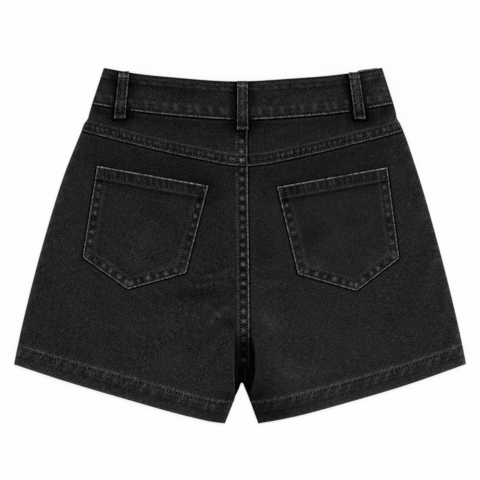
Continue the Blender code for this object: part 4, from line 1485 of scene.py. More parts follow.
@dataclass(frozen=True)
class DenimFinish(Finish):
    """Black washed twill with grey worn folds, painted light and shade, and painted shadow beside
    its covering edges.
    """

    base: float = 0.0137
    grey: float = 0.15
    tint: tuple[float, float, float] = (1.0, 0.99, 0.985)
    weave_depth: float = 0.00012

    def make(self, *groups: bpy.types.NodeTree) -> Material:
        """Make the material.

        Args:
            groups: The node groups of the weave, the worn folds and the seams' shadows.

        Returns:
            The material.
        """
        material, board, shader = self.start()
        reads = ({"Weave": "weave"}, {"Fold": "fold", "Wear": "wear"}, SEWN)
        placed = []
        for group, names in zip(groups, reads):
            inputs = {label: board.mark(name) for label, name in names.items()}
            inputs["Cloth"] = board.mark("cloth", "Vector")
            placed.append(board.add("ShaderNodeGroup", inputs, node_tree=group).outputs)
        twill, worn, shadow = placed
        # The tone carries the wash and the painted light and shade; the seam share adds painted
        # shadow beside covering edges.
        washed_and_shaded = board.math("MULTIPLY", board.mark("tone"), twill["Light"])
        washed_and_shaded = board.math("MULTIPLY", washed_and_shaded, shadow["Share"])
        grey = board.math("MULTIPLY", worn["Mask"], self.grey)
        value = board.math("MULTIPLY_ADD", washed_and_shaded, self.base, grey, clamp=True)
        board.feed(shader, {"Base Color": board.tint(value, self.tint),
                            "Normal": board.bump(twill["Height"], 1.0, self.weave_depth)})
        return material


@dataclass(frozen=True)
class ThreadFinish(Finish):
    """Black spun thread, a little greyer where it has rubbed."""

    base: float = 0.006
    rub: float = 2.2
    strength: float = 0.6
    depth: float = 0.00008

    def make(self) -> Material:
        """Make the material.

        Returns:
            The material, with its twist along X.
        """
        material, board, shader = self.start()
        place = board.add("ShaderNodeTexCoord").outputs["Object"]
        rub = board.swing(board.noise(place, (260.0, 260.0, 260.0), 2.0), self.rub)
        value = board.math("MULTIPLY", board.math("ADD", 1.0, rub), self.base, clamp=True)
        twist = board.noise(place, (2600.0, 900.0, 900.0), 1.0)
        board.feed(shader, {"Base Color": board.tint(value),
                            "Normal": board.bump(twist, self.strength, self.depth)})
        return material


@dataclass(frozen=True)
class ButtonFinish(Finish):
    """Dark turned metal with fine rings and a little tarnish."""

    colour: tuple[float, float, float] = (0.12, 0.12, 0.125)
    ring: float = 0.0006
    strength: float = 0.3
    depth: float = 0.00003
    mottle: float = 0.3
    darkest: float = 0.85
    smoothest: float = 0.22

    def make(self, centre: Place) -> Material:
        """Make the material.

        Args:
            centre: The button's centre, which the rings go round.

        Returns:
            The material.
        """
        material, board, shader = self.start()
        place = board.add("ShaderNodeTexCoord").outputs["Object"]
        out = board.vector("SUBTRACT", place, (centre[0] * MM, centre[1] * MM, 0.0))
        flat = board.vector("MULTIPLY", out, (1.0, 1.0, 0.0))
        radius = board.vector("LENGTH", flat, output="Value")
        rings = board.math("SINE", board.math("MULTIPLY", radius, 2 * math.pi / self.ring))
        tarnish = board.noise(place, (420.0, 420.0, 420.0), 3.0)
        shade = board.math("MULTIPLY_ADD", tarnish, self.mottle, self.darkest)
        colour = board.add("ShaderNodeVectorMath", {0: self.colour, "Scale": shade},
                           operation="SCALE")
        board.feed(shader, {
            "Base Color": colour.outputs[0], "Metallic": 1.0,
            "Roughness": board.math("MULTIPLY_ADD", tarnish, self.mottle, self.smoothest),
            "Normal": board.bump(rings, self.strength, self.depth)})
        return material


@dataclass(frozen=True)
class FloorFinish(Finish):
    """Plain pale floor."""

    albedo: float = 0.22
    drift: float = 0.01
    glow: float = 0.755

    def make(self) -> Material:
        """Make the material.

        Returns:
            The material, which glows a little.
        """
        material, board, shader = self.start()
        place = board.add("ShaderNodeTexCoord").outputs["Object"]
        drift = board.math("SUBTRACT", board.noise(place, (1.5, 1.5, 1.5), 1.0), 0.5)
        board.feed(shader, {
            "Base Color": board.math("MULTIPLY_ADD", drift, self.drift, self.albedo),
            "Emission Color": (1.0, 1.0, 1.0, 1.0), "Emission Strength": self.glow})
        return material


# Pieces of cloth


def rows_down(length: float, zones: Iterable[tuple[float, float, float]],
              marks: Iterable[float]) -> Array:
    """Space out the rows of a grid along an edge.

    Args:
        length: Length of the edge.
        zones: Start, end and spacing of each zone of rows.
        marks: Lengths down the edge at which a row has to lie.

    Returns:
        Shares from 0 to 1 in order.
    """
    places, exact = steps(*zones), np.array(sorted(marks))
    clear = np.abs(places[:, None] - exact[None, :]).min(axis=1) > ROW_CLEARANCE
    clear |= (places > length) | (places == 0)
    return np.clip(np.union1d(places[clear], exact) / length, 0.0, 1.0)


@dataclass(frozen=True)
class Flat:
    """A piece's cut on the cloth: width, length and area, in metres."""

    width: float
    length: float
    area: float


@dataclass
class ClothPiece:
    """What every cloth piece holds: the cut of the garment, its drape and its finish."""

    cut: Cut
    drape: Drape
    finish: Material

    flat = Flat(0.0, 0.0, 0.0)
    thread_lift = 0.05

    def build(self) -> Piece:
        """Make the piece."""
        raise NotImplementedError

    def surface(self, x: Array, y: Array) -> Array:
        """Height of the face that is seen."""
        raise NotImplementedError

    def row_at(self, x: Array, y: Array) -> Array:
        """Row of stitches in the face that is seen."""
        return np.stack([x, y, self.surface(x, y) + self.thread_lift], axis=-1)

    def rows(self) -> list[Array]:
        """Rows of stitches that show at the back."""
        return []

    def hidden_rows(self) -> list[Array]:
        """Rows of stitches in the face on the table."""
        return []

    def bars(self) -> list[Array]:
        """Bar tacks."""
        return []

    def pressed(self, name: str, xy: Array, inset: Array, row: float, pull: float, marks: Marks,
                cloth: Array) -> Piece:
        """Make a single cloth that is pressed flat on the table.

        Args:
            name: Name of the piece.
            xy: Places in plan, in rows and columns.
            inset: Their distances in from the edges.
            row: Distance in of the stitches.
            pull: How far the stitches draw the cloth up off the table.
            marks: What the finish reads.
            cloth: Places in the uncut cloth.

        Returns:
            The piece.
        """
        low = fold_drop(inset, 0.4) + pull * bell(inset - row, 0.8)
        high = self.cut.cloth - fold_drop(inset, 0.35)
        shell = Shell(name)
        shell.knit(shell.lay(stack(xy, low), stack(xy, high), marks, cloth))
        return shell.build(self.finish)


@dataclass
class LegPiece(ClothPiece):
    """A piece of one half of the garment, between its outer edge and the seat seam."""

    side: Side

    name = "leg"
    columns = 130
    edge_rows = (0.8, 0.4, 0.15, 0.0)
    hem_slope = 0.96
    side_slope = 0.96
    yoke_slope = 0.975
    right_is_lighter = 2.0
    row_ends = (1.8, 1.2)
    hem_end_y = -199.0
    weave = {Side.LEFT: 1.12, Side.RIGHT: 0.88}
    grain = {Side.LEFT: (0.0, 0.0), Side.RIGHT: (-22.0, 700.0)}
    curl_columns = 7
    lap_columns = 20
    tuck_columns = 14
    lap_edge = (1.6, 1.2, 0.85, 0.55, 0.3, 0.12, 0.0)

    @property
    def left(self) -> bool:
        """Whether the piece is on the left of the seat seam."""
        return self.side is Side.LEFT

    @property
    def seam_x(self) -> float:
        """Place of the piece's inner edge above the crotch."""
        return float(self.cut.fold_x(self.side, self.cut.fold_left.points[0][0]))

    @property
    def arch_y(self) -> float:
        """Height at which the inside of the leg meets the crotch fold."""
        return self.cut.fold_of(self.side).points[-3][0]

    @property
    def roll_y(self) -> float:
        """Height down to which the inner edge carries on and doesn't roll."""
        return -math.inf

    @property
    def exact(self) -> tuple[float, ...]:
        """Heights at which the inner edge has to have a row."""
        return ()

    def fell_x(self, y: Array) -> Array:
        """Folded edge of the left half where it laps over the right one."""
        return self.cut.fell_right + self.cut.seat_lean.at(y)

    def outer_x(self, edge: Edge) -> float:
        """Place across at which an edge of the garment starts on this side."""
        return edge.points[0 if self.left else -1][0]

    def from_side(self, x: Array, y: Array) -> Array:
        """Distance in from the outer edge."""
        return (x - self.cut.side_x(self.side, y)) * self.side.inward * self.side_slope

    def across(self, edge: Edge, share: float = 1.0) -> Array:
        """Places across from a share of where an edge starts to the seat seam."""
        return np.linspace(self.outer_x(edge) * share, self.seam_x, EDGE_POINTS)

    def leg_plan(self, x: Array, y: Array, tuck_y: float | None = None) -> Panel:
        """Lay out a panel that goes down to the hem.

        Args:
            x: Places across its top edge.
            y: Heights of its top edge.
            tuck_y: Height above which its outer edge is tucked in.

        Returns:
            Its flat plan.
        """
        top, hem = Run(zip(x, y)), self.cut.hem_of(self.side)
        x = np.linspace(hem.points[0][0], hem.points[-1][0], EDGE_POINTS)[:: self.side.inward]
        low = Run(zip(x, hem.at(x)))
        start = self.cut.side_run(self.side, top.at(0.0), low.at(0.0), tuck_y)
        return Panel(top, low, start, self.cut.fold_run_of(self.side, float(top.at(1.0)[1])))

    def hem_up(self, x: Array, y: Array) -> Array:
        """Distance in from the hem's fold, for its sewing, which is not quite even."""
        up = (y - self.cut.hem_y(x)) * self.hem_slope
        return up - HEM_WANDER.at(x) * ease(up, 6, 18)

    def hem_row(self) -> Array:
        """Lay the row of stitches along the hem.

        Returns:
            Its points.
        """
        cut, up = self.cut, HEM.rows[0] / self.hem_slope
        outer_in, inner_in = (end * self.side.inward for end in self.row_ends)
        outer = self.outer_x(cut.hem_of(self.side))
        outer = float(cut.side_x(self.side, cut.hem_y(np.array(outer)) + up)) + outer_in
        x = np.linspace(outer, float(cut.fold_x(self.side, self.hem_end_y)) - inner_in, ROW_POINTS)
        return self.row_at(x, cut.hem_y(x) + up + HEM_WANDER.at(x))

    def plan(self) -> Panel:
        """Flat plan of the piece."""
        raise NotImplementedError

    def zones(self, length: float) -> tuple[tuple[float, float, float], ...]:
        """Zones of rows down the inner edge."""
        raise NotImplementedError

    def heights(self, x: Array, y: Array) -> tuple[Array, Array, Array]:
        """Heights of the good face, of the other face and of the seam at a rolled edge."""
        raise NotImplementedError

    def swell(self, x: Array, y: Array) -> Array:
        """How far its seams raise the good face."""
        raise NotImplementedError

    def marks(self, x: Array, y: Array) -> Marks:
        """What the finish reads."""
        raise NotImplementedError

    def surface(self, x: Array, y: Array) -> Array:
        """Height of the good face."""
        return self.heights(x, y)[0] + self.swell(x, y)

    def seat_swell(self, x: Array, y: Array) -> Array:
        """How far the seat seam raises the left half, which laps over the right one."""
        over = self.fell_x(y) - x
        return (SEAT_FELL.rise(over, y) - fold_drop(over, 0.8)) * self.left

    def cloth_at(self, x: Array, y: Array) -> Array:
        """Place in the uncut cloth."""
        return cloth_place(x, y, *self.grain[self.side])

    def lay(self, shell: Shell, outer_xy: Array, inner_xy: Array, share: Array | float) -> Array:
        """Lay a grid of the piece.

        Args:
            shell: The shell that it goes into.
            outer_xy: Places of the good face.
            inner_xy: Places of the other face.
            share: Share of full height above the rolled edge's seam.

        Returns:
            The numbers of its points.
        """
        x, y = outer_xy[..., 0], outer_xy[..., 1]
        face, _, seam = self.heights(x, y)
        outer = mix(seam, face + self.swell(x, y), share)
        _, other, seam = self.heights(inner_xy[..., 0], inner_xy[..., 1])
        marks = self.marks(x, y)
        marks.weave = self.weave[self.side]
        return shell.lay(stack(outer_xy, outer), stack(inner_xy, mix(seam, other, share)), marks,
                         self.cloth_at(x, y))

    def carry_on(self, shell: Shell, numbers: Array, rows: Array) -> None:
        """Carry the piece on past its inner edge as a strip along the seat seam.

        Args:
            shell: The shell that the piece is in.
            numbers: The piece's inner column of points, beside the rows.
            rows: Heights of the rows.
        """
        places = np.stack([self.fell_places(y) for y in rows])
        xy = stack(places[..., None], np.broadcast_to(rows[:, None], places.shape))
        strip = self.lay(shell, xy, xy, 1.0)
        shell.knit(np.concatenate([numbers[:, None], strip], axis=1))

    def fell_places(self, y: float) -> Array:
        """Space out the seam strip.

        Args:
            y: A height.

        Returns:
            Places across the strip there, from the inner edge on.
        """
        fold = float(self.cut.fold_x(self.side, y))
        curl = np.linspace(0, self.cut.fold_run, self.curl_columns)[1:] * self.side.inward + fold
        if not self.left:
            tucked = np.linspace(curl[-1], self.cut.fell_hidden, self.tuck_columns)[1:]
            return np.concatenate([curl, tucked])
        edge = float(self.fell_x(y)) - np.array(self.lap_edge)
        flat = np.linspace(curl[-1], edge[0], self.lap_columns)[1:]
        return np.concatenate([curl, flat, edge[1:]])

    def build(self) -> Piece:
        """Make the piece.

        Returns:
            The piece, with its outer edge rolled and its inner edge carried on.
        """
        plan = self.plan()
        edge, length = plan.end, plan.end.length
        marks = [edge.share_at_height(y) * length for y in self.exact]
        marks += [length - place for place in self.edge_rows]
        v = rows_down(length, self.zones(length), marks)
        roll = np.where(v < edge.share_at_height(self.roll_y) + 1e-6, 0.0, 1.0)
        outer_xy, inner_xy, share = Section(self.cut, self.columns).places(plan, v, roll)
        shell = Shell(f"{self.name}_{self.side.value}")
        numbers = self.lay(shell, outer_xy, inner_xy, share)
        shell.knit(numbers)
        self.carry_on(shell, numbers[:, -1], edge.at(v)[:, 1])
        return shell.build(self.finish)


@dataclass
class LegBack(LegPiece):
    """Back of one leg, from under the yoke down to the turned hem."""

    name = "leg_back"
    flat = Flat(0.280, 0.350, 0.083)
    edge_rows = (1.3, *LegPiece.edge_rows)
    # The seam strip and the rolled wall beside the crotch keep only these shares of their
    # brightness, as painted shade of the deep fold.
    strip_keep = {Side.LEFT: 0.22, Side.RIGHT: 0.04}
    strip_run = {Side.LEFT: (0.2, 2.0), Side.RIGHT: (-1.6, 0.2)}
    wall_keep = {Side.LEFT: 0.25, Side.RIGHT: 0.04}
    wall_run = {Side.LEFT: (-0.9, -0.2), Side.RIGHT: (-3.0, -0.6)}
    wall_inside = 0.6
    deep_run = (98, 128)
    pocket_reach = 41
    rim_run = (118, 134)
    rim_out = 1.1
    rim_half = 0.9
    rim_light = 15
    # lap_run and lap_dark paint shade on the seat seam's strip where it goes down into the crotch.
    lap_run = (96, 140)
    lap_dark = 12
    seat_top_y = 97.0
    seat_end = 1.5

    @property
    def yoke_y(self) -> float:
        """Height just under the yoke at the seat seam."""
        edges = (self.cut.fold_left, self.cut.fold_right)
        return min(float(self.cut.yoke_low.at(edge.points[0][1])) for edge in edges) - self.cut.gap

    @property
    def roll_y(self) -> float:
        """Height down to which the inner edge carries on and doesn't roll."""
        return self.cut.crotch

    @property
    def exact(self) -> tuple[float, ...]:
        """Heights at which the inner edge has to have a row."""
        return self.yoke_y, self.cut.crotch, self.cut.crotch - 0.4, self.arch_y

    def plan(self) -> Panel:
        """Lay out the piece, tucked in under the yoke.

        Returns:
            Its flat plan.
        """
        cut = self.cut
        x = self.across(cut.yoke_low, 1 - cut.tucked_share)
        tuck_y = float(cut.yoke_low.at(self.outer_x(cut.yoke_low)))
        return self.leg_plan(x, cut.yoke_low.at(x) + cut.yoke_lap, tuck_y)

    def zones(self, length: float) -> tuple[tuple[float, float, float], ...]:
        """Zones of rows down the inner edge."""
        fine = length - 36.0
        return (0, 16, 1.2), (16, fine, 1.8), (fine, length - 1.9, 0.85)

    def heights(self, x: Array, y: Array) -> tuple[Array, Array, Array]:
        """Measure up from the table.

        Args:
            x: Places across.
            y: Places up the garment.

        Returns:
            Heights of the good face, of the other face and of the seam at a rolled edge.
        """
        cut = self.cut
        face = cut.back_z(self.side, x, y) + self.drape.rise(x, y, cut)
        near = (np.abs(x - cut.fold_x(self.side, y)) < cut.fold_reach) & (y > self.arch_y - 1)
        seam = np.where(near, cut.front_inner(x, y) + cut.leg_gap + cut.layer,
                        cut.inseam_z(x, y) + cut.gap / 2)
        return face, face - cut.wall(x, y), seam

    def swell(self, x: Array, y: Array) -> Array:
        """How far its seams raise the good face."""
        rise = HEM.rise(self.hem_up(x, y), x) - fold_drop(y - self.cut.hem_y(x), 0.9)
        return rise + self.seat_swell(x, y) * self.on_seat(y)

    def on_seat(self, y: Array) -> Array:
        """Whether heights are above the crotch."""
        return y > self.cut.crotch - 1

    def recess(self, x: Array, y: Array) -> Array:
        """Paint shade into the deep fold by the crotch.

        Args:
            x: Places across.
            y: Places up the garment.

        Returns:
            Share of its brightness that the cloth keeps.
        """
        inside = (x - self.cut.fold_x(self.side, y)) * self.side.inward
        side, deep = self.side, ease(-y, *self.deep_run)
        strip = (1 - self.strip_keep[side]) * deep * ease(inside, *self.strip_run[side])
        wall = (1 - self.wall_keep[side]) * deep * ease(inside, *self.wall_run[side])
        if self.left:
            wall = wall * (y > self.arch_y)
        return np.minimum(1 - strip, np.where(inside < self.wall_inside, 1 - wall, 1.0))

    def marks(self, x: Array, y: Array) -> Marks:
        """Mark the seams, the painted shadows of the pieces over it and the painted shade of the
        deep fold.

        Args:
            x: Places across.
            y: Places up the garment.

        Returns:
            What the finish reads.
        """
        cut, marks = self.cut, Marks.plain(x.shape)
        marks.level = self.drape.level(x, y) + (0 if self.left else self.right_is_lighter)
        marks.sew(HEM, self.hem_up(x, y), x)
        marks.sew(SIDE_EDGE, self.from_side(x, y), y)
        # Painted shade under the yoke's lower edge and painted shadow round the pocket, weaker
        # above its top edge; the cloth is also darker for a stretch above that edge.
        below = (cut.yoke_low.at(x) - y) * self.yoke_slope
        marks.level += UNDER_YOKE.at(below) - BODY_LEVEL
        marks.shade(below)
        corners = dict(cut.pockets)[self.side]
        above = beyond_line(corners.top_out, corners.top_in, x, y) * self.side.inward > 0
        outside = corners.outside(x, y)
        marks.shade(np.where(above & (outside > 0), outside * 1.3 + 0.9, outside))
        beside = to_chain((corners.top_out, corners.top_in), x, y)[0]
        marks.level += np.where(above & (beside < self.pocket_reach),
                                OVER_POCKET.at(beside) - BODY_LEVEL, 0)
        if self.left:
            marks.sew(SEAT_FELL, self.fell_x(y) - x, y, cross=True, where=self.on_seat(y))
            out = x - cut.fold_x(self.side, y) + self.rim_out
            marks.level += self.rim_light * (ease(-y, *self.rim_run) * bell(out, self.rim_half))
            # Painted shade on the seat seam's strip as it goes down into the crotch.
            marks.level -= self.lap_dark * ease(-y, *self.lap_run) * (x > self.seam_x)
        else:
            marks.shade(np.where(self.on_seat(y), x - self.fell_x(y), FAR))
        marks.dark = self.recess(x, y)
        return marks

    def carry_on(self, shell: Shell, numbers: Array, rows: Array) -> None:
        """Carry the piece on along the seat seam, between the yoke and the crotch.

        Args:
            shell: The shell that the piece is in.
            numbers: The piece's inner column of points, beside the rows.
            rows: Heights of the rows.
        """
        seat = (rows <= self.yoke_y + 1e-3) & (rows >= self.cut.crotch - 1e-3)
        super().carry_on(shell, numbers[seat], rows[seat])

    def rows(self) -> list[Array]:
        """Lay the rows of stitches along the hem and the seat seam.

        Returns:
            Points of each row.
        """
        y = np.linspace(self.seat_top_y, self.cut.crotch + self.seat_end, ROW_POINTS)
        seat = [self.row_at(self.fell_x(y) - place, y) for place in SEAT_FELL.rows if self.left]
        return [self.hem_row(), *seat]


@dataclass
class Yoke(LegPiece):
    """Yoke between the waistband and one leg back, which it laps over."""

    name = "yoke_piece"
    columns = 120
    flat = Flat(0.215, 0.085, 0.0099)
    side_slope = 0.93
    body = {Side.LEFT: 1.0, Side.RIGHT: 3.0}
    weave = {Side.LEFT: 1.08, Side.RIGHT: 0.88}
    grain = {Side.LEFT: (-12.0, 1400.0), Side.RIGHT: (12.0, 2100.0)}
    under_band = 0.6
    past_loop = 1.0
    loop_soft = 0.7
    seat_wear = 0.5
    seat_dark = 8.0
    seat_reach = 3.0
    row_top_y = 105.0
    row_clear = 0.8
    seat_low_y = 100.0

    def plan(self) -> Panel:
        """Lay out the piece between the waistband and its lower edge.

        Returns:
            Its flat plan.
        """
        cut = self.cut
        x = self.across(cut.waist_low)
        top = Run(zip(x, cut.waist_low.at(x) - cut.gap * 1.3))
        x = self.across(cut.yoke_low)
        low = Run(zip(x, cut.yoke_low.at(x)))
        start = cut.side_run(self.side, top.at(0.0), low.at(0.0))
        return Panel(top, low, start, Run([top.at(1.0), low.at(1.0)]))

    def zones(self, length: float) -> tuple[tuple[float, float, float], ...]:
        """Zones of rows down the inner edge."""
        return (0, 26, 1.3), (26, length - 1.2, 0.72)

    def heights(self, x: Array, y: Array) -> tuple[Array, Array, Array]:
        """Heights of the good face, of the other face and of the seam at a rolled edge."""
        face = self.cut.yoke_z(self.side, x, y) + self.drape.rise(x, y, self.cut)
        return face, face - self.cut.cloth, self.cut.inseam_z(x, y) + self.cut.gap / 2

    def swell(self, x: Array, y: Array) -> Array:
        """How far its seams raise the good face."""
        up = (y - self.cut.yoke_low.at(x)) * self.yoke_slope
        return YOKE_FELL.rise(up, x) - fold_drop(up, 0.7) + self.seat_swell(x, y)

    def marks(self, x: Array, y: Array) -> Marks:
        """Mark the seams and the shadows of the waistband and its loops.

        Args:
            x: Places across.
            y: Places up the garment.

        Returns:
            What the finish reads.
        """
        cut, marks = self.cut, Marks.plain(x.shape)
        marks.level = self.drape.level(x, y) + self.body[self.side]
        marks.sew(YOKE_FELL, (y - cut.yoke_low.at(x)) * self.yoke_slope, x)
        marks.sew(SIDE_EDGE, self.from_side(x, y), y)
        # Painted shade under the waistband's lower edge and painted shadow round the loops' feet.
        below = (cut.waist_low.at(x) - y) * 0.98
        marks.level += UNDER_BAND.at(below) - BODY_LEVEL
        marks.shade(below - self.under_band)
        beside = cut.by_loops(x, y)[0]
        marks.level += BY_LOOP_FOOT.at(beside)
        marks.shade((beside - self.past_loop) * self.loop_soft)
        over = self.fell_x(y) - x
        if self.left:
            marks.sew(SEAT_FELL, over, y, cross=True)
            marks.wear = marks.wear * np.where(over < self.seat_reach, self.seat_wear, 1.0)
            marks.level -= self.seat_dark * bell(over, self.seat_reach)
        else:
            marks.shade(-over)
        return marks

    def rows(self) -> list[Array]:
        """Lay the rows of stitches along its lower edge and the seat seam.

        Returns:
            Points of each row.
        """
        cut = self.cut
        corner_y = float(cut.yoke_low.at(self.outer_x(cut.yoke_low)))
        inner = float(self.fell_x(self.row_top_y)) - self.row_clear * self.side.inward
        rows = []
        for place in YOKE_FELL.rows:
            up = place / self.yoke_slope
            outer = float(cut.side_x(self.side, corner_y + up))
            x = np.linspace(outer + self.row_ends[0] * self.side.inward, inner, ROW_POINTS)
            rows.append(self.row_at(x, cut.yoke_low.at(x) + up))
        y = np.linspace(cut.back_loops[1].low_y - 1, self.seat_low_y, 40)
        seat = [self.row_at(self.fell_x(y) - place, y) for place in SEAT_FELL.rows if self.left]
        return rows + seat


@dataclass
class BackPocket(LegPiece):
    """Patch pocket on a leg back, with a turned top edge."""

    name = "pocket"
    flat = Flat(0.160, 0.160, 0.0173)
    points_across = 110
    points_down = 104
    edge = np.array([0.0, 0.15, 0.4, 0.8, 1.3])
    turned = 14.4
    turned_rise = 0.4
    corner_glow = 20.0
    corner_step = 5.0
    row_inset = 0.9
    weave = {Side.LEFT: 1.1, Side.RIGHT: 0.74}
    grain = {Side.LEFT: (-8.0, 2800.0), Side.RIGHT: (8.0, 3500.0)}
    low_gather = 0.45
    low_lines = ((6, 1.6, 5), (9.0, 1.4, -3), (15, 2.0, -4))
    row_points = 200
    top_run = (0.035, 0.965)
    tacks = ((2.6, 8.0), (12.2, 6.0))
    tack_inset = 1.2

    @property
    def corners(self) -> PocketCorners:
        """The pocket's corners."""
        return dict(self.cut.pockets)[self.side]

    @property
    def top(self) -> tuple[Array, Array, Array, Array]:
        """Measure the top edge.

        Returns:
            Its ends, the way along it and the way down from it.
        """
        start, end = np.array(self.corners.top_out), np.array(self.corners.top_in)
        along = unit(end - start)
        return start, end, along, np.array([along[1], -along[0]]) * self.side.inward

    def below_top(self, x: Array, y: Array) -> Array:
        """Distance below the top edge."""
        return -beyond_line(self.corners.top_out, self.corners.top_in, x, y) * self.side.inward

    def heights(self, x: Array, y: Array) -> tuple[Array, Array, Array]:
        """Measure up from the table.

        Args:
            x: Places across.
            y: Places up the garment.

        Returns:
            Heights of the good face and, twice, of the other face, as no edge is rolled.
        """
        cut, end = self.cut, self.turned
        base = cut.back_z(self.side, x, y) + self.drape.rise(x, y, cut) + cut.gap
        turned_in = 1 - ease(self.below_top(x, y), end - 0.5, end + 1.5)
        return base + cut.cloth + self.turned_rise * turned_in, base, base

    def swell(self, x: Array, y: Array) -> Array:
        """Swell the seams.

        Args:
            x: Places across.
            y: Places up the garment.

        Returns:
            How far they raise the good face.
        """
        inside, along = to_chain(self.corners.sides, x, y)
        below = self.below_top(x, y)
        rise = POCKET_SIDE.rise(inside, along) + POCKET_TOP.rise(below, x)
        return rise - fold_drop(np.minimum(inside, below), 0.75)

    def marks(self, x: Array, y: Array) -> Marks:
        """Mark the seams and the worn corners.

        Args:
            x: Places across.
            y: Places up the garment.

        Returns:
            What the finish reads.
        """
        marks, corners = Marks.plain(x.shape), self.corners
        inside, along = to_chain(corners.sides, x, y)
        marks.level = self.drape.level(x, y) + (0 if self.left else self.right_is_lighter)
        marks.sew(POCKET_TOP, self.below_top(x, y), x)
        marks.sew(POCKET_SIDE, inside, along, cross=True)
        low = (y < corners.low_out[1] + 6) & (y < corners.low_in[1] + 6)
        gather = POCKET_SIDE.puckers[0]
        change = self.low_gather * gather.tone * gather.wave(along, inside)
        for place, half, tone in self.low_lines:
            change = change + tone * bell(inside - place, half)
        marks.level += low * change
        middle = np.mean(corners.sides, axis=0)
        for corner in np.array(corners.sides):
            spot = corner + unit(middle - corner) * self.corner_step
            marks.level += self.corner_glow * bell(np.hypot(x - spot[0], y - spot[1]), 5.0)
        return marks

    def build(self) -> Piece:
        """Make the piece.

        Returns:
            The piece, whose grid has a column exactly at the point of its lower edge.
        """
        corners = self.corners
        low = Run((corners.low_out, corners.tip, corners.low_in))
        plan = Panel(Run((corners.top_out, corners.top_in)), low,
                     Run((corners.top_out, corners.low_out)), Run((corners.top_in, corners.low_in)))
        xy = plan.at(*np.meshgrid(
            self.spread(low.length, self.points_across, float(low.shares[1])),
            self.spread(plan.start.length, self.points_down, 0.5)))
        shell = Shell(f"{self.name}_{self.side.value}")
        shell.knit(self.lay(shell, xy, xy, 1.0))
        return shell.build(self.finish)

    def spread(self, length: float, count: int, middle: float) -> Array:
        """Space out points along a side.

        Args:
            length: Length of the side.
            count: How many points lie between the close ones at both ends.
            middle: Share at which a point has to lie.

        Returns:
            Shares from 0 to 1 in order.
        """
        ends = self.edge / length
        span = np.linspace(ends[-1], 1 - ends[-1], count)
        span[np.abs(span - middle).argmin()] = middle
        return np.concatenate([ends[:-1], span, 1 - ends[-2::-1]])

    def inset(self, distance: float) -> Array:
        """Move the sewn edge in.

        Args:
            distance: How far.

        Returns:
            Its corners, from the top edge round to the top edge.
        """
        points = np.array(self.corners.sides)
        way = unit(np.diff(points, axis=0))
        normal = np.stack([-way[:, 1], way[:, 0]], axis=1) * self.side.inward
        before, after = normal[:-1], normal[1:]
        share = distance / (1 + (before * after).sum(axis=1, keepdims=True))
        points[1:-1] += (before + after) * share
        points[0] += normal[0] * distance + way[0] * self.row_inset
        points[-1] += normal[-1] * distance - way[-1] * self.row_inset
        return points

    def rows(self) -> list[Array]:
        """Lay the rows of stitches round the sewn edge and along the turned top.

        Returns:
            Points of each row.
        """
        start, end, _, down = self.top
        places = [Run(self.inset(distance)).at(np.linspace(0, 1, self.row_points))
                  for distance in POCKET_SIDE.rows]
        line = mix(start, end, np.linspace(*self.top_run, EDGE_POINTS)[:, None])
        places += [line + down * distance for distance in POCKET_TOP.rows]
        return [self.row_at(*xy.T) for xy in places]

    def bars(self) -> list[Array]:
        """Lay the bar tacks at the top corners.

        Returns:
            Points of each tack.
        """
        start, end, along, down = self.top
        bars = []
        for corner, way in ((start, along), (end, -along)):
            for drop, length in self.tacks:
                out = np.linspace(self.tack_inset, self.tack_inset + length, 12)[:, None]
                bars.append(self.row_at(*(corner + down * drop + way * out).T))
        return bars


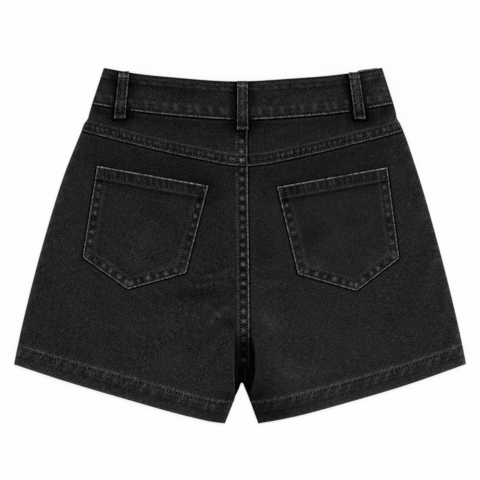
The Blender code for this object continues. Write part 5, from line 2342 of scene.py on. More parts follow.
@dataclass
class LegFront(LegPiece):
    """Plain front of one leg, face down, whose crotch end turns up to meet the seat."""

    name = "leg_front"
    columns = 60
    flat = Flat(0.300, 0.400, 0.0878)
    edge_rows = (0.8, 0.4, 0.0)
    thread_lift = 0.3
    drape_tone_share = 0.7
    pull = 0.35
    seam_shift = 7
    # The part that turns up deep in the crotch keeps only these shares of its brightness as painted
    # shade, a little lighter along the lines of its seam's folds.
    turned_keep = 0.03
    seam_gap = 0.05
    seam_slant = 0.5
    folds = (-3.9, 6.4)
    folds_keep = 0.30
    turn_columns = 17
    turn_bends = (18, 36, 54, 72, 90)
    climb_rows = 10

    @property
    def roll_y(self) -> float:
        """Height down to which the inner edge carries on and doesn't roll."""
        return self.arch_y + 0.5

    @property
    def exact(self) -> tuple[float, ...]:
        """Heights at which the inner edge has to have a row."""
        return self.cut.crotch, self.arch_y + self.cut.edge_round, self.arch_y

    def plan(self) -> Panel:
        """Flat plan of the piece."""
        x = self.across(self.cut.waist_low)
        return self.leg_plan(x, self.cut.front_waist(x) - self.cut.gap * 1.3)

    def zones(self, length: float) -> tuple[tuple[float, float, float], ...]:
        """Zones of rows down the inner edge."""
        return (0, length - 36, 3.6), (length - 36, length - 1.3, 1.4)

    def heights(self, x: Array, y: Array) -> tuple[Array, Array, Array]:
        """Heights of the face on the table, of the inside and of the seam at a rolled edge."""
        cut = self.cut
        return cut.floor_z(x, y), cut.front_inner(x, y), cut.inseam_z(x, y) - cut.gap / 2

    def swell(self, x: Array, y: Array) -> Array:
        """How far the face is drawn up off the table along its hem and its rows of stitches."""
        pulled = self.pull * bell(self.hem_up(x, y) - HEM.rows[0], 0.8)
        return fold_drop(y - self.cut.hem_y(x), 0.7) + pulled

    def surface(self, x: Array, y: Array) -> Array:
        """Height at which the stitches lie in the face on the table."""
        return self.heights(x, y)[0]

    def marks(self, x: Array, y: Array) -> Marks:
        """Mark the seams.

        Args:
            x: Places across.
            y: Places up the garment.

        Returns:
            What the finish reads.
        """
        marks = Marks.plain(x.shape)
        marks.level = self.drape.level(-x, y) * self.drape_tone_share
        marks.sew(HEM, self.hem_up(x, y), x + self.seam_shift)
        marks.sew(SIDE_EDGE, self.from_side(x, y), y)
        beside = np.where(y > self.arch_y, np.abs(x - self.cut.front_seam), FAR)
        marks.sew(FRONT_SEAM, beside, y, cross=True)
        return marks

    def carry_on(self, shell: Shell, numbers: Array, rows: Array) -> None:
        """Carry the centre down to the crotch fold, round it and up to the seat seam.

        Args:
            shell: The shell that the piece is in.
            numbers: The inner column of points, beside the rows.
            rows: Heights of the rows.
        """
        cut, sign, arch = self.cut, self.side.inward, self.arch_y
        numbers, rows = numbers[rows >= arch - 1e-3], rows[rows >= arch - 1e-3]
        seam = cut.front_seam - sign * self.seam_gap / 2
        shares = np.linspace(0, 1, self.turn_columns)
        grids = []
        for y in rows:
            x = mix(float(cut.fold_x(self.side, y)), seam, shares)
            down = max((cut.crotch - y) / (cut.crotch - arch), 0.0)
            bowed = mix(cut.crotch, cut.crotch_arch.at(x), down)
            reach = bowed if y < cut.crotch else np.full_like(x, y)
            face, other, turn = self.heights(x, reach)
            outer, inner, climb = (turn, turn, cut.cloth) if y < arch + 1e-3 else (face, other, 0)
            grids.append([np.stack([x, reach, outer], -1), np.stack([x, reach + climb, inner], -1)])
        x = mix(float(cut.fold_x(self.side, arch)), seam, shares)
        base, radius = cut.crotch_arch.at(x), cut.edge_round
        for bend in np.radians(self.turn_bends):
            outer_y = base + radius * (1 - math.cos(bend))
            inner_y = base + radius - (radius - cut.cloth) * math.cos(bend)
            grids.append(self.turned_line(x, outer_y, inner_y, math.sin(bend)))
        for climb in np.linspace(0, 1, self.climb_rows)[1:]:
            y = mix(base + radius, cut.crotch - cut.gap, climb)
            wide = cut.fold_x(self.side, y) - sign * cut.turn_under
            grids.append(self.turned_line(mix(wide, seam, shares), y, y, 1.0))
        outer, inner = (np.stack([grid[i] for grid in grids]) for i in (0, 1))
        inner[..., 0] += self.seam_slant * ease(shares, 0.8, 1.0)
        x, y = outer[..., 0], outer[..., 1]
        marks = self.marks(x, y)
        # Painted shade on the turned-up part, lighter along its seam's folds.
        lines = sum(bell(x - place, 0.8) for place in self.folds) * ease(y, -172, -168)
        turned_up = np.arange(len(outer))[:, None] >= len(rows) - 1
        marks.dark = np.where(turned_up, self.turned_keep + self.folds_keep * lines, 1.0)
        grid = shell.lay(outer, inner, marks, self.cloth_at(x, y))
        grid[: len(rows), 0] = numbers
        shell.knit(grid)

    def turned_line(self, x: Array, outer_y: Array, inner_y: Array, share: float) -> list[Array]:
        """Lay a line across the part that has turned up over itself.

        Args:
            x: Places across.
            outer_y: Heights up the garment of the outer points.
            inner_y: The same of the inner points.
            share: Share of full height.

        Returns:
            Outer points and inner points.
        """
        cut = self.cut
        low = cut.inseam_z(x, outer_y) - cut.gap / 2
        level = cut.front_inner(x, outer_y) + cut.leg_gap
        return [np.stack([x, outer_y, mix(low, level + cut.cloth, share)], axis=-1),
                np.stack([x, inner_y, mix(low, level, share)], axis=-1)]

    def hidden_rows(self) -> list[Array]:
        """Row of stitches along the hem."""
        return [self.hem_row()]


@dataclass
class SkirtPanel(ClothPiece):
    """Plain skirt panel over the fronts, face down on the table."""

    flat = Flat(0.490, 0.345, 0.1327)
    spacing = 3.6
    close_spacing = 1.3
    close_from = 30.0
    edge_rows = (0.6, 0.2, 0.0)
    free_slope = 0.98
    hem_slope = 0.99
    drape_tone_share = 0.6
    pull = 0.3
    thread_lift = 0.3
    hem_row_ends = (6.0, 168.0)
    free_row_ends = (170.0, -136.0)

    def plan(self) -> Panel:
        """Lay out the panel between the waist, its hem, the side and its free edge.

        Returns:
            Its flat plan.
        """
        cut = self.cut
        corners = [(x, y) for y, x in cut.skirt_edge.points]
        first = cut.waist_low.points[0][0] + cut.skirt_inset
        x = np.linspace(first, corners[0][0], EDGE_POINTS)
        top = Run(zip(x, cut.front_waist(x) - cut.gap))
        first = cut.skirt_hem.points[0][0] + cut.skirt_inset
        x = np.linspace(first, corners[-1][0], EDGE_POINTS)
        low = Run(zip(x, cut.skirt_hem.at(x)))
        y = np.linspace(top.at(0.0)[1], low.at(0.0)[1], EDGE_POINTS)
        start = Run(zip(cut.side_x(Side.LEFT, y) + cut.skirt_inset, y))
        return Panel(top, low, start, Run([top.at(1.0), *corners[1:-1], low.at(1.0)]))

    def surface(self, x: Array, y: Array) -> Array:
        """Height at which the stitches lie in the face on the table."""
        return np.zeros(np.shape(x))

    def build(self) -> Piece:
        """Make the piece.

        Returns:
            The piece, with its hem and its free edge turned and stitched.
        """
        cut, plan = self.cut, self.plan()
        shares = []
        for size in (plan.low.length, plan.start.length):
            close = size - self.close_from
            zones = ((0, close, self.spacing), (close, size - 1.2, self.close_spacing))
            shares.append(rows_down(size, zones, [size - place for place in self.edge_rows]))
        xy = plan.at(*np.meshgrid(*shares))
        x, y = xy[..., 0], xy[..., 1]
        inset = np.minimum((cut.skirt_edge.at(y) - x) * self.free_slope,
                           (y - cut.skirt_hem.at(x)) * self.hem_slope)
        marks = Marks.plain(x.shape)
        marks.level = self.drape.level(-x, y * 0.9) * self.drape_tone_share
        marks.sew(PLAIN_HEM, inset, x + y)
        marks.sew(SIDE_EDGE, x - cut.side_x(Side.LEFT, y), y)
        marks.shade(cut.front_waist(x) - y)
        return self.pressed("skirt_front", xy, inset, PLAIN_HEM.rows[0], self.pull, marks,
                            cloth_place(x, y, grain=2.0, bolt=4200.0))

    def hidden_rows(self) -> list[Array]:
        """Lay the rows of stitches along the hem and the free edge.

        Returns:
            Points of each row.
        """
        cut, inset = self.cut, PLAIN_HEM.rows[0]
        first, last = self.hem_row_ends
        x = np.linspace(cut.skirt_hem.points[0][0] + first, last, 200)
        y = np.linspace(*self.free_row_ends, ROW_POINTS)
        return [self.row_at(x, cut.skirt_hem.at(x) + inset),
                self.row_at(cut.skirt_edge.at(y) - inset, y)]


@dataclass
class Waistband(ClothPiece):
    """Waistband in one length: under the closure, round the back and over the closure."""

    flat = Flat(0.765, 0.052, 0.0370)
    edge = np.array([0.0, 0.15, 0.4, 0.8, 1.3])
    row_spacing = 0.9
    under_columns = 20
    seen_columns = 290
    hidden_columns = 100
    bend_columns = 11
    raised_from = 142.0
    raised_to = 148.5
    raised_top = Edge(((144.0, 218.3), (172.0, 222.1)), True)
    raised_share = 0.33
    worn_end = 118.0
    slit_y = 219.4
    loop_dark = 16.0
    left_body = -2.5
    right_body = 1.0
    hidden_lift = 0.26
    weave = 1.14
    body_run = (-80, 60)
    beside_loop = ((-100, 100), (5, -6))
    beside_place = 3
    beside_half = 4
    clear_run = (3, 12)
    sliver_run = (146, 149)
    sliver_below = (-1.2, -0.2)
    slit_run = ((147.5, 150), (155, 161))
    slit_half = 0.75
    tone_and_shade_patches = patches(
        (-108, 190, 30, 5, -6, 4), (-110, 200, 40, 4, -6, -4), (-60, 186, 22, 6, -4, -3),
        (-30, 190, 14, 8, 0, 4), (44, 192, 24, 5, 4, 4), (96, 190, 26, 6, 6, 3),
        (96, 202, 30, 4, 6, -3), (156, 206, 8, 12, -10, 9), (180, 198, 8, 18, -14, 16),
        (-168, 194, 8, 16, 14, 4), (-80, 176, 40, 6, -6, 4), (60, 174, 40, 5, 5, 3),
        (60, 170, 16, 8, 4, -6), (-90, 211, 12, 4, -5, -7), (181, 204, 6, 8, 0, 7),
        (94, 211, 12, 4, 6, -8), (-24, 168, 10, 6, -4, -7))

    @property
    def ends(self) -> Place:
        """Places across of the ends of the top edge."""
        return self.cut.waist_top.points[0][0], self.cut.waist_top.points[-1][0]

    def stations(self) -> list[tuple[Stretch, float, float]]:
        """Space out the columns of points.

        Returns:
            Stretch, share across and bend of every column in order.
        """
        cut, (first, last) = self.cut, self.ends
        turn_in = (cut.band + cut.gap / 2) / (last - first)
        start = (cut.overlap_start - first) / (last - first)
        finish = (cut.overlap_end - first) / (last - first)
        bends = np.radians(np.linspace(0, 180, self.bend_columns)[1:-1])
        under = np.linspace(start, 1 - turn_in, self.under_columns)
        back = np.linspace(1 - turn_in, turn_in, self.seen_columns)
        over = np.linspace(turn_in, finish, self.hidden_columns)
        lay = [(Stretch.UNDER, share, 0.0) for share in under]
        lay += [(Stretch.TURN_RIGHT, 1 - turn_in, bend) for bend in bends]
        lay += [(Stretch.BACK, share, 0.0) for share in back]
        lay += [(Stretch.TURN_LEFT, turn_in, bend) for bend in bends]
        return lay + [(Stretch.OVER, share, 0.0) for share in over]

    def place(self, share: float, down: Array) -> tuple[Array, Array, float, float]:
        """Measure one column.

        Args:
            share: Its share across.
            down: Shares down it.

        Returns:
            Places across and up, the dip of the front there and the band's depth.
        """
        cut = self.cut
        top_x = mix(*self.ends, share)
        low_x = mix(cut.waist_low.points[0][0], cut.waist_low.points[-1][0], share)
        top_y, low_y = float(cut.waist_top.at(top_x)), float(cut.waist_low.at(low_x))
        depth = math.hypot(top_x - low_x, top_y - low_y)
        x, y = mix(top_x, low_x, down), mix(top_y, low_y, down)
        return x, y, float(cut.band_dip(low_x)), depth

    def column(self, stretch: Stretch, share: float, bend: float,
               down: Array) -> tuple[Array, Array]:
        """Lay one column of points.

        Args:
            stretch: The stretch that it is in.
            share: Its share across.
            bend: How far a turned end has bent there.
            down: Shares down it.

        Returns:
            Outer points and inner points.
        """
        cut = self.cut
        x, y, dip, depth = self.place(share, down)
        from_top, from_low = down * depth, (1 - down) * depth
        swell = BAND_TOP.rise(from_top, x) + BAND_LOW.rise(from_low, x)
        swell = swell - fold_drop(np.minimum(from_top, from_low), 0.8)
        inner_x = x
        if stretch is Stretch.BACK:
            outer = cut.back_band + cut.band_lift(x)
            inner = outer - cut.band
        elif stretch is Stretch.UNDER:
            outer = np.full_like(x, cut.layer + cut.band + cut.gap)
            inner, swell = outer + cut.band, 0.0
        elif stretch is Stretch.OVER:
            raised = ease(x, self.raised_from, self.raised_to)
            raised = raised * np.clip(1 - down / self.raised_share, 0, 1)
            y = y + raised * (self.raised_top.at(x) - (y[0] - dip))
            outer = np.full_like(x, cut.layer)
            inner, swell = outer + cut.band, 0.5 * fold_drop(from_top, 0.8)
        else:
            right = stretch is Stretch.TURN_RIGHT
            radius, hollow = cut.band + cut.gap / 2, cut.gap / 2
            middle = cut.layer + radius + right * cut.band_lift(x)
            rise = -math.cos(bend) if right else math.cos(bend)
            reach = math.sin(bend) if right else -math.sin(bend)
            swell = swell * max(rise, 0.0)
            outer, inner = middle + radius * rise, middle + hollow * rise
            x, inner_x = x + radius * reach, x + hollow * reach
        if stretch is not Stretch.BACK:
            y = y - dip
        return np.stack([x, y, outer + swell], -1), np.stack([inner_x, y, inner], -1)

    def marks(self, x: Array, y: Array, from_top: Array, from_low: Array,
              stretches: Array) -> Marks:
        """Mark both edges, the loops' shadows and the worn end by the closure.

        Args:
            x: Places across.
            y: Places up the garment.
            from_top: Distances from the upper edge.
            from_low: Distances from the lower edge.
            stretches: Name of the stretch that each column is in.

        Returns:
            What the finish reads.
        """
        cut, marks = self.cut, Marks.plain(x.shape)
        back = stretches == Stretch.BACK.value
        over = stretches == Stretch.OVER.value
        marks.weave = self.weave
        marks.level = mix(self.left_body, self.right_body, ease(x, *self.body_run)) * back
        marks.sew(BAND_LOW, from_low, x)
        marks.sew(BAND_TOP, from_top, x, cross=True)
        # Painted shadows beside the back loops: darker bands, black at their sides, less worn grey
        # and a darker lower edge near them; left of each loop the band is a little lighter on the
        # left of the garment and darker on the right.
        beside, right = cut.by_loops(x, y)
        shadow = np.where(right, RIGHT_OF_LOOP.at(beside), BY_A_LOOP.at(beside)) - BODY_LEVEL
        marks.level += np.where(back, shadow, 0)
        glow = bell(beside - self.beside_place, self.beside_half)
        marks.level += glow * np.interp(x, *self.beside_loop) * (back & ~right)
        marks.shade(np.where(back, (beside - 0.3) * 0.9 + np.where(right, 1.5, 0), FAR))
        clear = ease(beside, *self.clear_run)
        marks.wear = marks.wear * np.where(back, clear, 1.0)
        marks.level -= self.loop_dark * (1 - clear) * bell(from_low, 2.2) * back
        for tone_and_shade_patch in self.tone_and_shade_patches:
            marks.level += tone_and_shade_patch.level(x, y) * back
        # The end over the closure shows a worn grey sliver above the back band, left unlightened
        # along the slit between the layers as a painted shadow line.
        sliver = ease(x, *self.sliver_run) * over
        sliver = sliver * ease(y - cut.waist_top.at(x), *self.sliver_below)
        opens, closes = (ease(x, *run) for run in self.slit_run)
        slit = opens * (1 - closes) * bell(y - self.slit_y, self.slit_half)
        marks.level += self.worn_end * sliver * (1 - slit)
        return marks

    def build(self) -> Piece:
        """Make the piece.

        Returns:
            The piece, as one length of band.
        """
        depth, stations = self.place(0.5, np.zeros(1))[3], self.stations()
        middle = np.arange(self.edge[-1], depth - self.edge[-1], self.row_spacing)
        down = np.concatenate([self.edge[:-1], middle, (depth - self.edge)[::-1]]) / depth
        columns = [self.column(*station, down) for station in stations]
        outer, inner = (np.stack([column[i] for column in columns]) for i in (0, 1))
        depths = np.array([self.place(share, down)[3] for _, share, _ in stations])[:, None]
        stretches = np.array([station[0].value for station in stations])[:, None]
        x, y = outer[..., 0], outer[..., 1]
        marks = self.marks(x, y, down * depths, (1 - down) * depths, stretches)
        shell = Shell("waistband_piece")
        cloth = cloth_place(x, y, grain=90.0, bolt=4900.0)
        shell.knit(shell.lay(outer, inner, marks, cloth))
        return shell.build(self.finish)

    def seams(self, stretch: Stretch, lift: float) -> list[Array]:
        """Lay the rows of stitches along both edges of a stretch.

        Args:
            stretch: The stretch.
            lift: Height of the stitches above the cloth.

        Returns:
            Points of each row.
        """
        rows = []
        for seam in (BAND_TOP, BAND_LOW):
            points = []
            for kind, share, bend in self.stations()[::2]:
                if kind is stretch:
                    down = seam.rows[0] / self.place(share, np.zeros(1))[3]
                    down = np.array([0.0, down if seam is BAND_TOP else 1 - down])
                    points.append(self.column(kind, share, bend, down)[0][1] + [0, 0, lift])
            rows.append(np.array(points))
        return rows

    def rows(self) -> list[Array]:
        """Rows of stitches round the back."""
        return self.seams(Stretch.BACK, self.thread_lift)

    def hidden_rows(self) -> list[Array]:
        """Rows of stitches in the stretch over the closure."""
        return self.seams(Stretch.OVER, self.hidden_lift)


@dataclass
class BackLoop(ClothPiece):
    """Belt loop that arches over the back waistband and ends on the yoke."""

    loop: Loop

    flat = Flat(0.0152, 0.064, 0.00088)
    arch = 1.0
    shoulder = (0.5, 0.4)
    top_swell = (9.0, 3.0, 0.25)
    lip = (7.0, 5.0, 16.0)
    cap = (8.0, 4.0, 22.0)
    glow_run = (16.0, 17.0)
    top_corner = (7.0, 26.0)
    low_corner = (1.5, 22.0)
    corner_in = 0.8
    corner_half = 2.4
    inner_glow = 0.5
    columns = 20
    spacing = 0.8
    under = 0.1
    top_tack = 8.6
    row_ends = (7.0, 4.5)
    tack_steps = (-0.7, 0.3, 1.1)
    tack_drop = 0.55

    @property
    def top_y(self) -> float:
        """Upper end of the loop."""
        return float(self.cut.waist_top.at(self.loop.top_x)) + 0.1

    @property
    def is_left(self) -> bool:
        """Whether the loop's foot is on the left of the seat seam."""
        return self.loop.low_x < self.cut.fell_right

    def base(self) -> Edge:
        """Find the surface under the loop.

        Returns:
            Its height, by place up the garment.
        """
        cut, loop, under, top = self.cut, self.loop, self.under, self.top_y
        edge = float(cut.waist_low.at(loop.low_x))
        side = Side.LEFT if self.is_left else Side.RIGHT
        foot, low, high = (float(cut.yoke_z(side, np.array(loop.low_x), np.array(y)))
                           for y in (loop.low_y, edge - 6, edge - 1))
        crown = cut.back_band + float(cut.band_lift(np.array(loop.top_x)))
        return Edge(((loop.low_y, foot + under), (edge - 7, low + under),
                     (edge - 2, max(high, crown) + under),
                     (edge + 6, crown + self.shoulder[0]),
                     (mix(edge, top, 0.5), crown + self.arch),
                     (top - 8, crown + self.shoulder[1]),
                     (top - 3, crown), (top, crown)))

    def surface(self, x: Array, y: Array) -> Array:
        """Measure up from the table.

        Args:
            x: Places across.
            y: Places up the garment.

        Returns:
            Heights of the good face.
        """
        middle, half = self.loop.at(y, self.top_y)
        inset = half - np.abs(x - middle)
        level = self.base().at(y) + self.cut.gap + self.cut.loop_cloth
        place, reach, size = self.top_swell
        rise = LOOP_SIDE.rise(inset, y) + size * bell(self.top_y - y - place, reach)
        return level + rise - fold_drop(np.minimum(inset, y - self.loop.low_y), 0.6)

    def marks(self, x: Array, y: Array, inset: Array, half: Array) -> Marks:
        """Mark the sides, the foot, the tacks and the lighter corners, which are lightest on the
        outer side.

        Args:
            x: Places across.
            y: Places up the garment.
            inset: Distances in from the nearer side.
            half: Half of the loop's width there.

        Returns:
            What the finish reads.
        """
        loop, marks = self.loop, Marks.plain(x.shape)
        up, below = y - loop.low_y, self.top_y - y
        marks.sew(LOOP_SIDE, inset, y)
        marks.level += LOOP_FOOT.at(up) + LOOP_TOP.at(below) + LOOP_TACK.at(up - loop.tack)
        above = y - self.cut.waist_low.at(x)
        for distance, (place, reach, glow) in ((above, self.lip), (below, self.cap)):
            marks.level += glow * bell(distance - place, reach) * bell(inset - half, reach)
        marks.level += loop.glow * bell(below - self.glow_run[0], self.glow_run[1])
        outward = (x - loop.low_x) * (-1 if self.is_left else 1) > -2
        for distance, (away, glow) in ((below, self.top_corner), (up, self.low_corner)):
            corner = np.hypot(inset - self.corner_in, distance - away)
            corner = bell(corner, self.corner_half)
            marks.level += glow * corner * np.where(outward, 1.0, self.inner_glow)
        return marks

    def build(self) -> Piece:
        """Make the piece.

        Returns:
            The piece, on the arch of the surface under it.
        """
        loop, length = self.loop, self.top_y - self.loop.low_y
        y = loop.low_y + steps((0, 1.2, 0.3), (1.2, length - 1, self.spacing),
                               (length - 1, length, 0.3))
        edge = np.array([0.0, 0.04, 0.1, 0.18])
        u = np.concatenate([edge, np.linspace(0.26, 1.74, self.columns), 2 - edge[::-1]]) - 1
        across, y = np.meshgrid(u, y)
        middle, half = loop.at(y, self.top_y)
        x = middle + across * half
        xy = np.stack([x, y], axis=-1)
        shell = Shell(f"belt_{loop.name}")
        marks = self.marks(x, y, half * (1 - np.abs(across)), half)
        low = stack(xy, self.base().at(y) + self.cut.gap)
        cloth = cloth_place(x, y, grain=3.0, bolt=5600.0 + loop.top_x)
        shell.knit(shell.lay(stack(xy, self.surface(x, y)), low, marks, cloth))
        return shell.build(self.finish)

    def rows(self) -> list[Array]:
        """Lay the rows of stitches down both sides.

        Returns:
            Points of each row.
        """
        y = np.linspace(self.top_y - self.row_ends[0], self.loop.low_y + self.row_ends[1], 60)
        middle, half = self.loop.at(y, self.top_y)
        return [self.row_at(middle + side * (half - LOOP_SIDE.rows[0]), y) for side in (-1, 1)]

    def bars(self) -> list[Array]:
        """Lay the bar tacks across the foot and near the top, a little wider than the loop.

        Returns:
            Points of each tack.
        """
        bars = []
        for y in (self.loop.low_y + self.loop.tack, self.top_y - self.top_tack):
            middle, half = self.loop.at(y, self.top_y)
            right = half + np.array(self.tack_steps)
            high = float(self.surface(np.array(middle), np.array(y))) + 0.1
            low = float(self.base().at(y)) + 0.25
            rise = np.array([high, mix(low, high, self.tack_drop), low])
            x = middle + np.concatenate([-right[::-1], [0.0], right])
            z = np.concatenate([rise[::-1], [high], rise])
            bars.append(np.stack([x, np.full_like(x, y), z], axis=-1))
        return bars


@dataclass
class FrontLoop(ClothPiece):
    """Belt loop pressed flat between the front waistband and the table."""

    loop: Loop

    flat = Flat(0.0134, 0.0520, 0.00065)
    pull = 0.25
    row_lift = 0.3
    row_ends = (3.0, 4.0)

    @property
    def top_y(self) -> float:
        """Upper end of the loop."""
        return float(self.cut.waist_top.at(self.loop.top_x)) - self.cut.front_drop

    def build(self) -> Piece:
        """Make the piece.

        Returns:
            The piece, as one flat strip.
        """
        cut, loop = self.cut, self.loop
        across, share = np.meshgrid(np.linspace(-0.5, 0.5, 15), np.linspace(0, 1, 46))
        x = mix(loop.top_x, loop.low_x, share) + across * loop.top_width
        y = mix(self.top_y, cut.front_waist(x) + cut.gap, share)
        inset = loop.top_width * (0.5 - np.abs(across))
        marks = Marks.plain(x.shape)
        marks.sew(LOOP_SIDE, inset, y)
        marks.level += LOOP_FOOT.at(y - y.min())
        return self.pressed(f"belt_{loop.name}", np.stack([x, y], axis=-1), inset,
                            LOOP_SIDE.rows[0], self.pull, marks,
                            cloth_place(x, y, grain=3.0, bolt=6300.0 + loop.top_x))

    def hidden_rows(self) -> list[Array]:
        """Lay the rows of stitches down both sides.

        Returns:
            Points of each row.
        """
        loop, top = self.loop, self.top_y
        low = float(self.cut.front_waist(loop.low_x)) + self.row_ends[1]
        y = np.linspace(top - self.row_ends[0], low, 40)
        x = mix(loop.top_x, loop.low_x, (top - y) / (top - low))
        place, z = loop.top_width / 2 - LOOP_SIDE.rows[0], np.full_like(y, self.row_lift)
        return [np.stack([x + side * place, y, z], axis=-1) for side in (-1, 1)]


@dataclass
class ClosureButton:
    """Plain round metal button that fastens the closure, face down on the table."""

    finish: Material
    centre: Place = (152.0, 197.0)
    sides: int = 72
    profile: Points = ((0.0, 0.3), (2.2, 0.26), (3.1, 0.12), (3.5, 0.3), (5.2, 0.34), (6.0, 0.12),
                       (6.8, 0.0), (7.7, 0.02), (8.25, 0.2), (8.5, 0.5), (8.35, 0.8), (8.0, 1.0),
                       (0.0, 1.0))

    def build(self) -> Piece:
        """Make the button.

        Returns:
            The piece, turned from its profile.
        """
        points: list[tuple[float, float, float]] = []
        rings, faces = [], []
        for radius, z in self.profile:
            count = self.sides if radius else 1
            rings.append(range(len(points), len(points) + count))
            for angle in np.linspace(0, 2 * math.pi, count, endpoint=False):
                points.append((self.centre[0] + radius * math.cos(angle),
                               self.centre[1] + radius * math.sin(angle), z))
        for inner, outer in zip(rings, rings[1:]):
            for i in range(self.sides):
                round_face = ((inner, i), (outer, i), (outer, i + 1), (inner, i + 1))
                corners = [ring[place % len(ring)] for ring, place in round_face]
                faces.append(list(dict.fromkeys(corners)))
        return make_piece("closure_button", np.array(points), faces, self.finish)


# Stitches


@dataclass(frozen=True)
class Stitch:
    """Size and spacing of one kind of stitch, in millimetres."""

    pitch: float
    length: float
    radius: float
    turn: float = 0.0
    seed: int = 7


TOPSTITCH = Stitch(3.75, 2.1, 0.26)
BAR_TACK = Stitch(0.55, 2.3, 0.26, turn=90.0)


class StitchTree:
    """Geometry nodes that set threads along lines and are shared by all the sewing."""

    INPUTS = {"Lines": "Geometry", "Pitch": "Float", "Length": "Float", "Radius": "Float",
              "Turn": "Float", "Seed": "Int", "Thread": "Material"}
    WOBBLE = (-0.07, 0.07)
    SHARES = (0.42, 0.55)

    def __init__(self) -> None:
        """Make the tree with its sockets and its nodes."""
        self.tree = bpy.data.node_groups.new("StitchRows", "GeometryNodeTree")
        sockets = self.tree.interface
        for label, kind in self.INPUTS.items():
            sockets.new_socket(label, in_out="INPUT", socket_type=f"NodeSocket{kind}")
        sockets.new_socket("Threads", in_out="OUTPUT", socket_type="NodeSocketGeometry")
        self.fill()

    def fill(self) -> None:
        """Add the nodes."""
        board = Board(self.tree)
        given = board.add("NodeGroupInput").outputs

        def chance(low: float, high: float) -> Socket:
            """Random number for each thread."""
            inputs = {2: low, 3: high, "Seed": given["Seed"]}
            return board.add("FunctionNodeRandomValue", inputs).outputs[1]

        lines = board.add("GeometryNodeMeshToCurve", {"Mesh": given["Lines"]}).outputs[0]
        spaced = board.add("GeometryNodeResampleCurve", {"Curve": lines, "Length": given["Pitch"]},
                           mode="LENGTH").outputs[0]
        angle = board.math("ADD", given["Turn"], chance(*self.WOBBLE))
        along = board.add("GeometryNodeInputTangent").outputs[0]
        way = board.add("ShaderNodeVectorRotate", {"Vector": along, "Angle": angle},
                        rotation_type="Z_AXIS").outputs[0]
        turn = board.add("FunctionNodeAlignRotationToVector", {"Vector": way}, axis="X").outputs[0]
        length = board.math("MULTIPLY", given["Length"], chance(*self.SHARES))
        size = board.add("ShaderNodeCombineXYZ",
                         {0: length, 1: given["Radius"], 2: given["Radius"]}).outputs[0]
        ball = {"Segments": 8, "Rings": 6, "Radius": 1.0}
        thread = board.add("GeometryNodeMeshUVSphere", ball).outputs[0]
        placed = {"Points": spaced, "Instance": thread, "Rotation": turn, "Scale": size}
        threads = board.add("GeometryNodeInstanceOnPoints", placed).outputs[0]
        for kind in ("SetShadeSmooth", "RealizeInstances"):
            threads = board.add(f"GeometryNode{kind}", {"Geometry": threads}).outputs[0]
        dressed = {"Geometry": threads, "Material": given["Thread"]}
        board.add("NodeGroupOutput",
                  {"Threads": board.add("GeometryNodeSetMaterial", dressed).outputs[0]})

    def sew(self, name: str, lines: list[Array], stitch: Stitch, thread: Material) -> Piece:
        """Sew threads along lines.

        Args:
            name: Name of the new piece.
            lines: Points of each line in millimetres.
            stitch: The kind of stitch.
            thread: The thread's finish.

        Returns:
            The piece, as a plain mesh.
        """
        guide = bpy.data.meshes.new(name)
        starts = np.cumsum([0] + [len(line) for line in lines])
        edges = [(i, i + 1) for first, line in zip(starts, lines)
                 for i in range(first, first + len(line) - 1)]
        guide.from_pydata((np.concatenate(lines) * MM).tolist(), edges, [])
        piece = stand(name, guide)
        modifier = piece.modifiers.new("Stitches", "NODES")
        modifier.node_group = self.tree
        values = {"Pitch": stitch.pitch * MM, "Length": stitch.length * MM,
                  "Radius": stitch.radius * MM, "Turn": math.radians(stitch.turn),
                  "Seed": stitch.seed, "Thread": thread}
        for item in self.tree.interface.items_tree:
            if item.in_out == "INPUT" and item.name in values:
                modifier[item.identifier] = values[item.name]
        evaluated = piece.evaluated_get(bpy.context.evaluated_depsgraph_get())
        mesh = bpy.data.meshes.new_from_object(evaluated)
        piece.modifiers.remove(modifier)
        piece.data = mesh
        mesh.name = name
        bpy.data.meshes.remove(guide)
        return piece


# Studio


@dataclass
class Studio:
    """Pale floor, soft light and the camera above the middle of the garment."""

    floor_half: float = 2.5
    world: float = 0.56
    key: float = 1.75
    key_angle: float = 40.0
    key_tilt: tuple[float, float, float] = (-24.0, 6.0, 0.0)
    height: float = 1.667
    aim: Place = (-0.0002, 0.0070)
    lens: float = 100.0

    def floor(self) -> Piece:
        """Make the floor just under the garment.

        Returns:
            The floor.
        """
        half = self.floor_half / MM
        corners = [(-half, -half, 0), (half, -half, 0), (half, half, 0), (-half, half, 0)]
        finish = FloorFinish("pale_floor", 0.9, 0.0).make()
        return make_piece("studio_floor", np.array(corners), [(0, 1, 2, 3)], finish, closed=False)

    def lights(self) -> None:
        """Set the even room light and the soft key light."""
        room = bpy.data.worlds.new("studio")
        room.use_nodes = True
        Board(room.node_tree).feed(room.node_tree.nodes["Background"],
                                   {"Color": (1.0, 1.0, 1.0, 1.0), "Strength": self.world})
        bpy.context.scene.world = room
        lamp = bpy.data.lights.new("key_light", "SUN")
        lamp.energy = self.key
        lamp.angle = math.radians(self.key_angle)
        stand("key_light", lamp).rotation_euler = [math.radians(turn) for turn in self.key_tilt]

    def camera(self) -> None:
        """Set the camera, which looks straight down."""
        data = bpy.data.cameras.new("camera")
        data.lens = self.lens
        camera = stand("camera", data)
        camera.location = (*self.aim, self.height)
        bpy.context.scene.camera = camera
        bpy.context.scene.view_settings.view_transform = "Standard"


# The whole garment


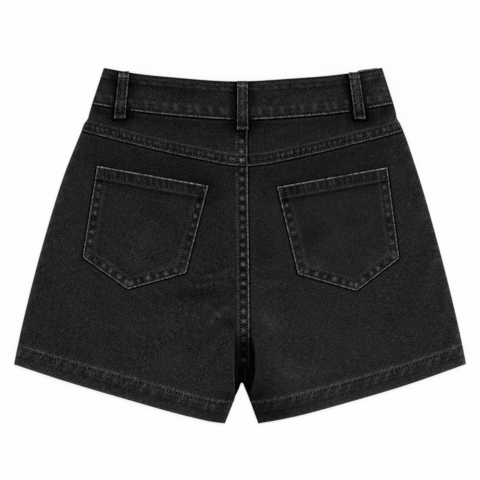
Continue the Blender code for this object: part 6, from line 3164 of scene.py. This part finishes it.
class DenimSkort:
    """The garment: makes its pieces in order, dresses them and hides the parts that they stand for.
    """

    def __init__(self) -> None:
        """Make the finishes and the stitches that the pieces share."""
        self.cut = Cut()
        groups = [kind().group() for kind in (TwillWeave, WornFold, SeamShadow)]
        denim = DenimFinish("black_washed_denim", 0.9, 0.03).make(*groups)
        self.parts = (self.cut, Drape(), denim)
        self.thread = ThreadFinish("black_thread", 0.6, 0.15).make()
        self.worn_thread = ThreadFinish("worn_thread", 0.7, 0.1, 0.007).make()
        self.metal = ButtonFinish("dark_metal", 0.4, 0.5).make(ClosureButton.centre)
        self.tree = StitchTree()
        self.back_lines: list[Array] = []
        self.front_lines: list[Array] = []
        self.bars: list[Array] = []

    def join(self, piece: Piece, slot: Slot, *nodes: str) -> None:
        """Hang a piece on the frame's root, hide the nodes that it replaces and log its size.

        Args:
            piece: The piece.
            slot: Not used.
            nodes: Nodes that it replaces.
        """
        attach(piece, "root")
        if nodes:
            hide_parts(*nodes)
        mesh = piece.data
        triangles = sum(len(face.vertices) - 2 for face in mesh.polygons)
        log.info("%s: %d points, %d triangles", piece.name, len(mesh.vertices), triangles)

    def add(self, maker: ClothPiece, node: str, *rests_on: str) -> None:
        """Args:
            maker: What makes the piece.
            node: Node that it replaces.
            rests_on: Not used.
        """
        piece, flat = maker.build(), maker.flat
        self.join(piece, Slot.DENIM, node)
        self.back_lines.extend(maker.rows())
        self.front_lines.extend(maker.hidden_rows())
        self.bars.extend(maker.bars())

    def waist(self) -> None:
        """Make the skirt panel, the waistband, the loops and the button."""
        self.add(SkirtPanel(*self.parts), "skirt_panel")
        front_loops = [f"belt_{loop.name}" for loop in self.cut.front_loops]
        self.add(Waistband(*self.parts), "waistband", *front_loops)
        for loop in self.cut.back_loops:
            self.add(BackLoop(*self.parts, loop), loop.name, "waistband_piece")
        for loop in self.cut.front_loops:
            self.add(FrontLoop(*self.parts, loop), loop.name)
        self.join(ClosureButton(self.metal).build(), Slot.METAL, "button")

    def legs(self) -> None:
        """Make the fronts, backs, pockets and yokes of both halves."""
        for side in Side:
            name = side.value
            for kind, node, under in ((LegFront, "front", "skirt_front"),
                                      (LegBack, "back", f"leg_front_{name}"),
                                      (BackPocket, "back_pocket", f"leg_back_{name}"),
                                      (Yoke, "yoke", f"leg_back_{name}")):
                self.add(kind(*self.parts, side), f"{node}_{name}", under)

    def sewing(self) -> None:
        """Sew the rows of stitches and the bar tacks."""
        for name, lines, stitch, thread in (
                ("topstitch_back", self.back_lines, TOPSTITCH, self.thread),
                ("topstitch_front", self.front_lines, TOPSTITCH, self.thread),
                ("bar_tacks", self.bars, BAR_TACK, self.worn_thread)):
            self.join(self.tree.sew(name, lines, stitch, thread), Slot.THREAD)


def main() -> None:
    """Build the garment and its studio."""
    logging.basicConfig(level=logging.INFO, format="%(name)s: %(message)s")
    garment = DenimSkort()
    garment.waist()
    garment.legs()
    garment.sewing()
    studio = Studio()
    studio.floor()
    studio.lights()
    studio.camera()


if __name__ == "__main__":
    main()
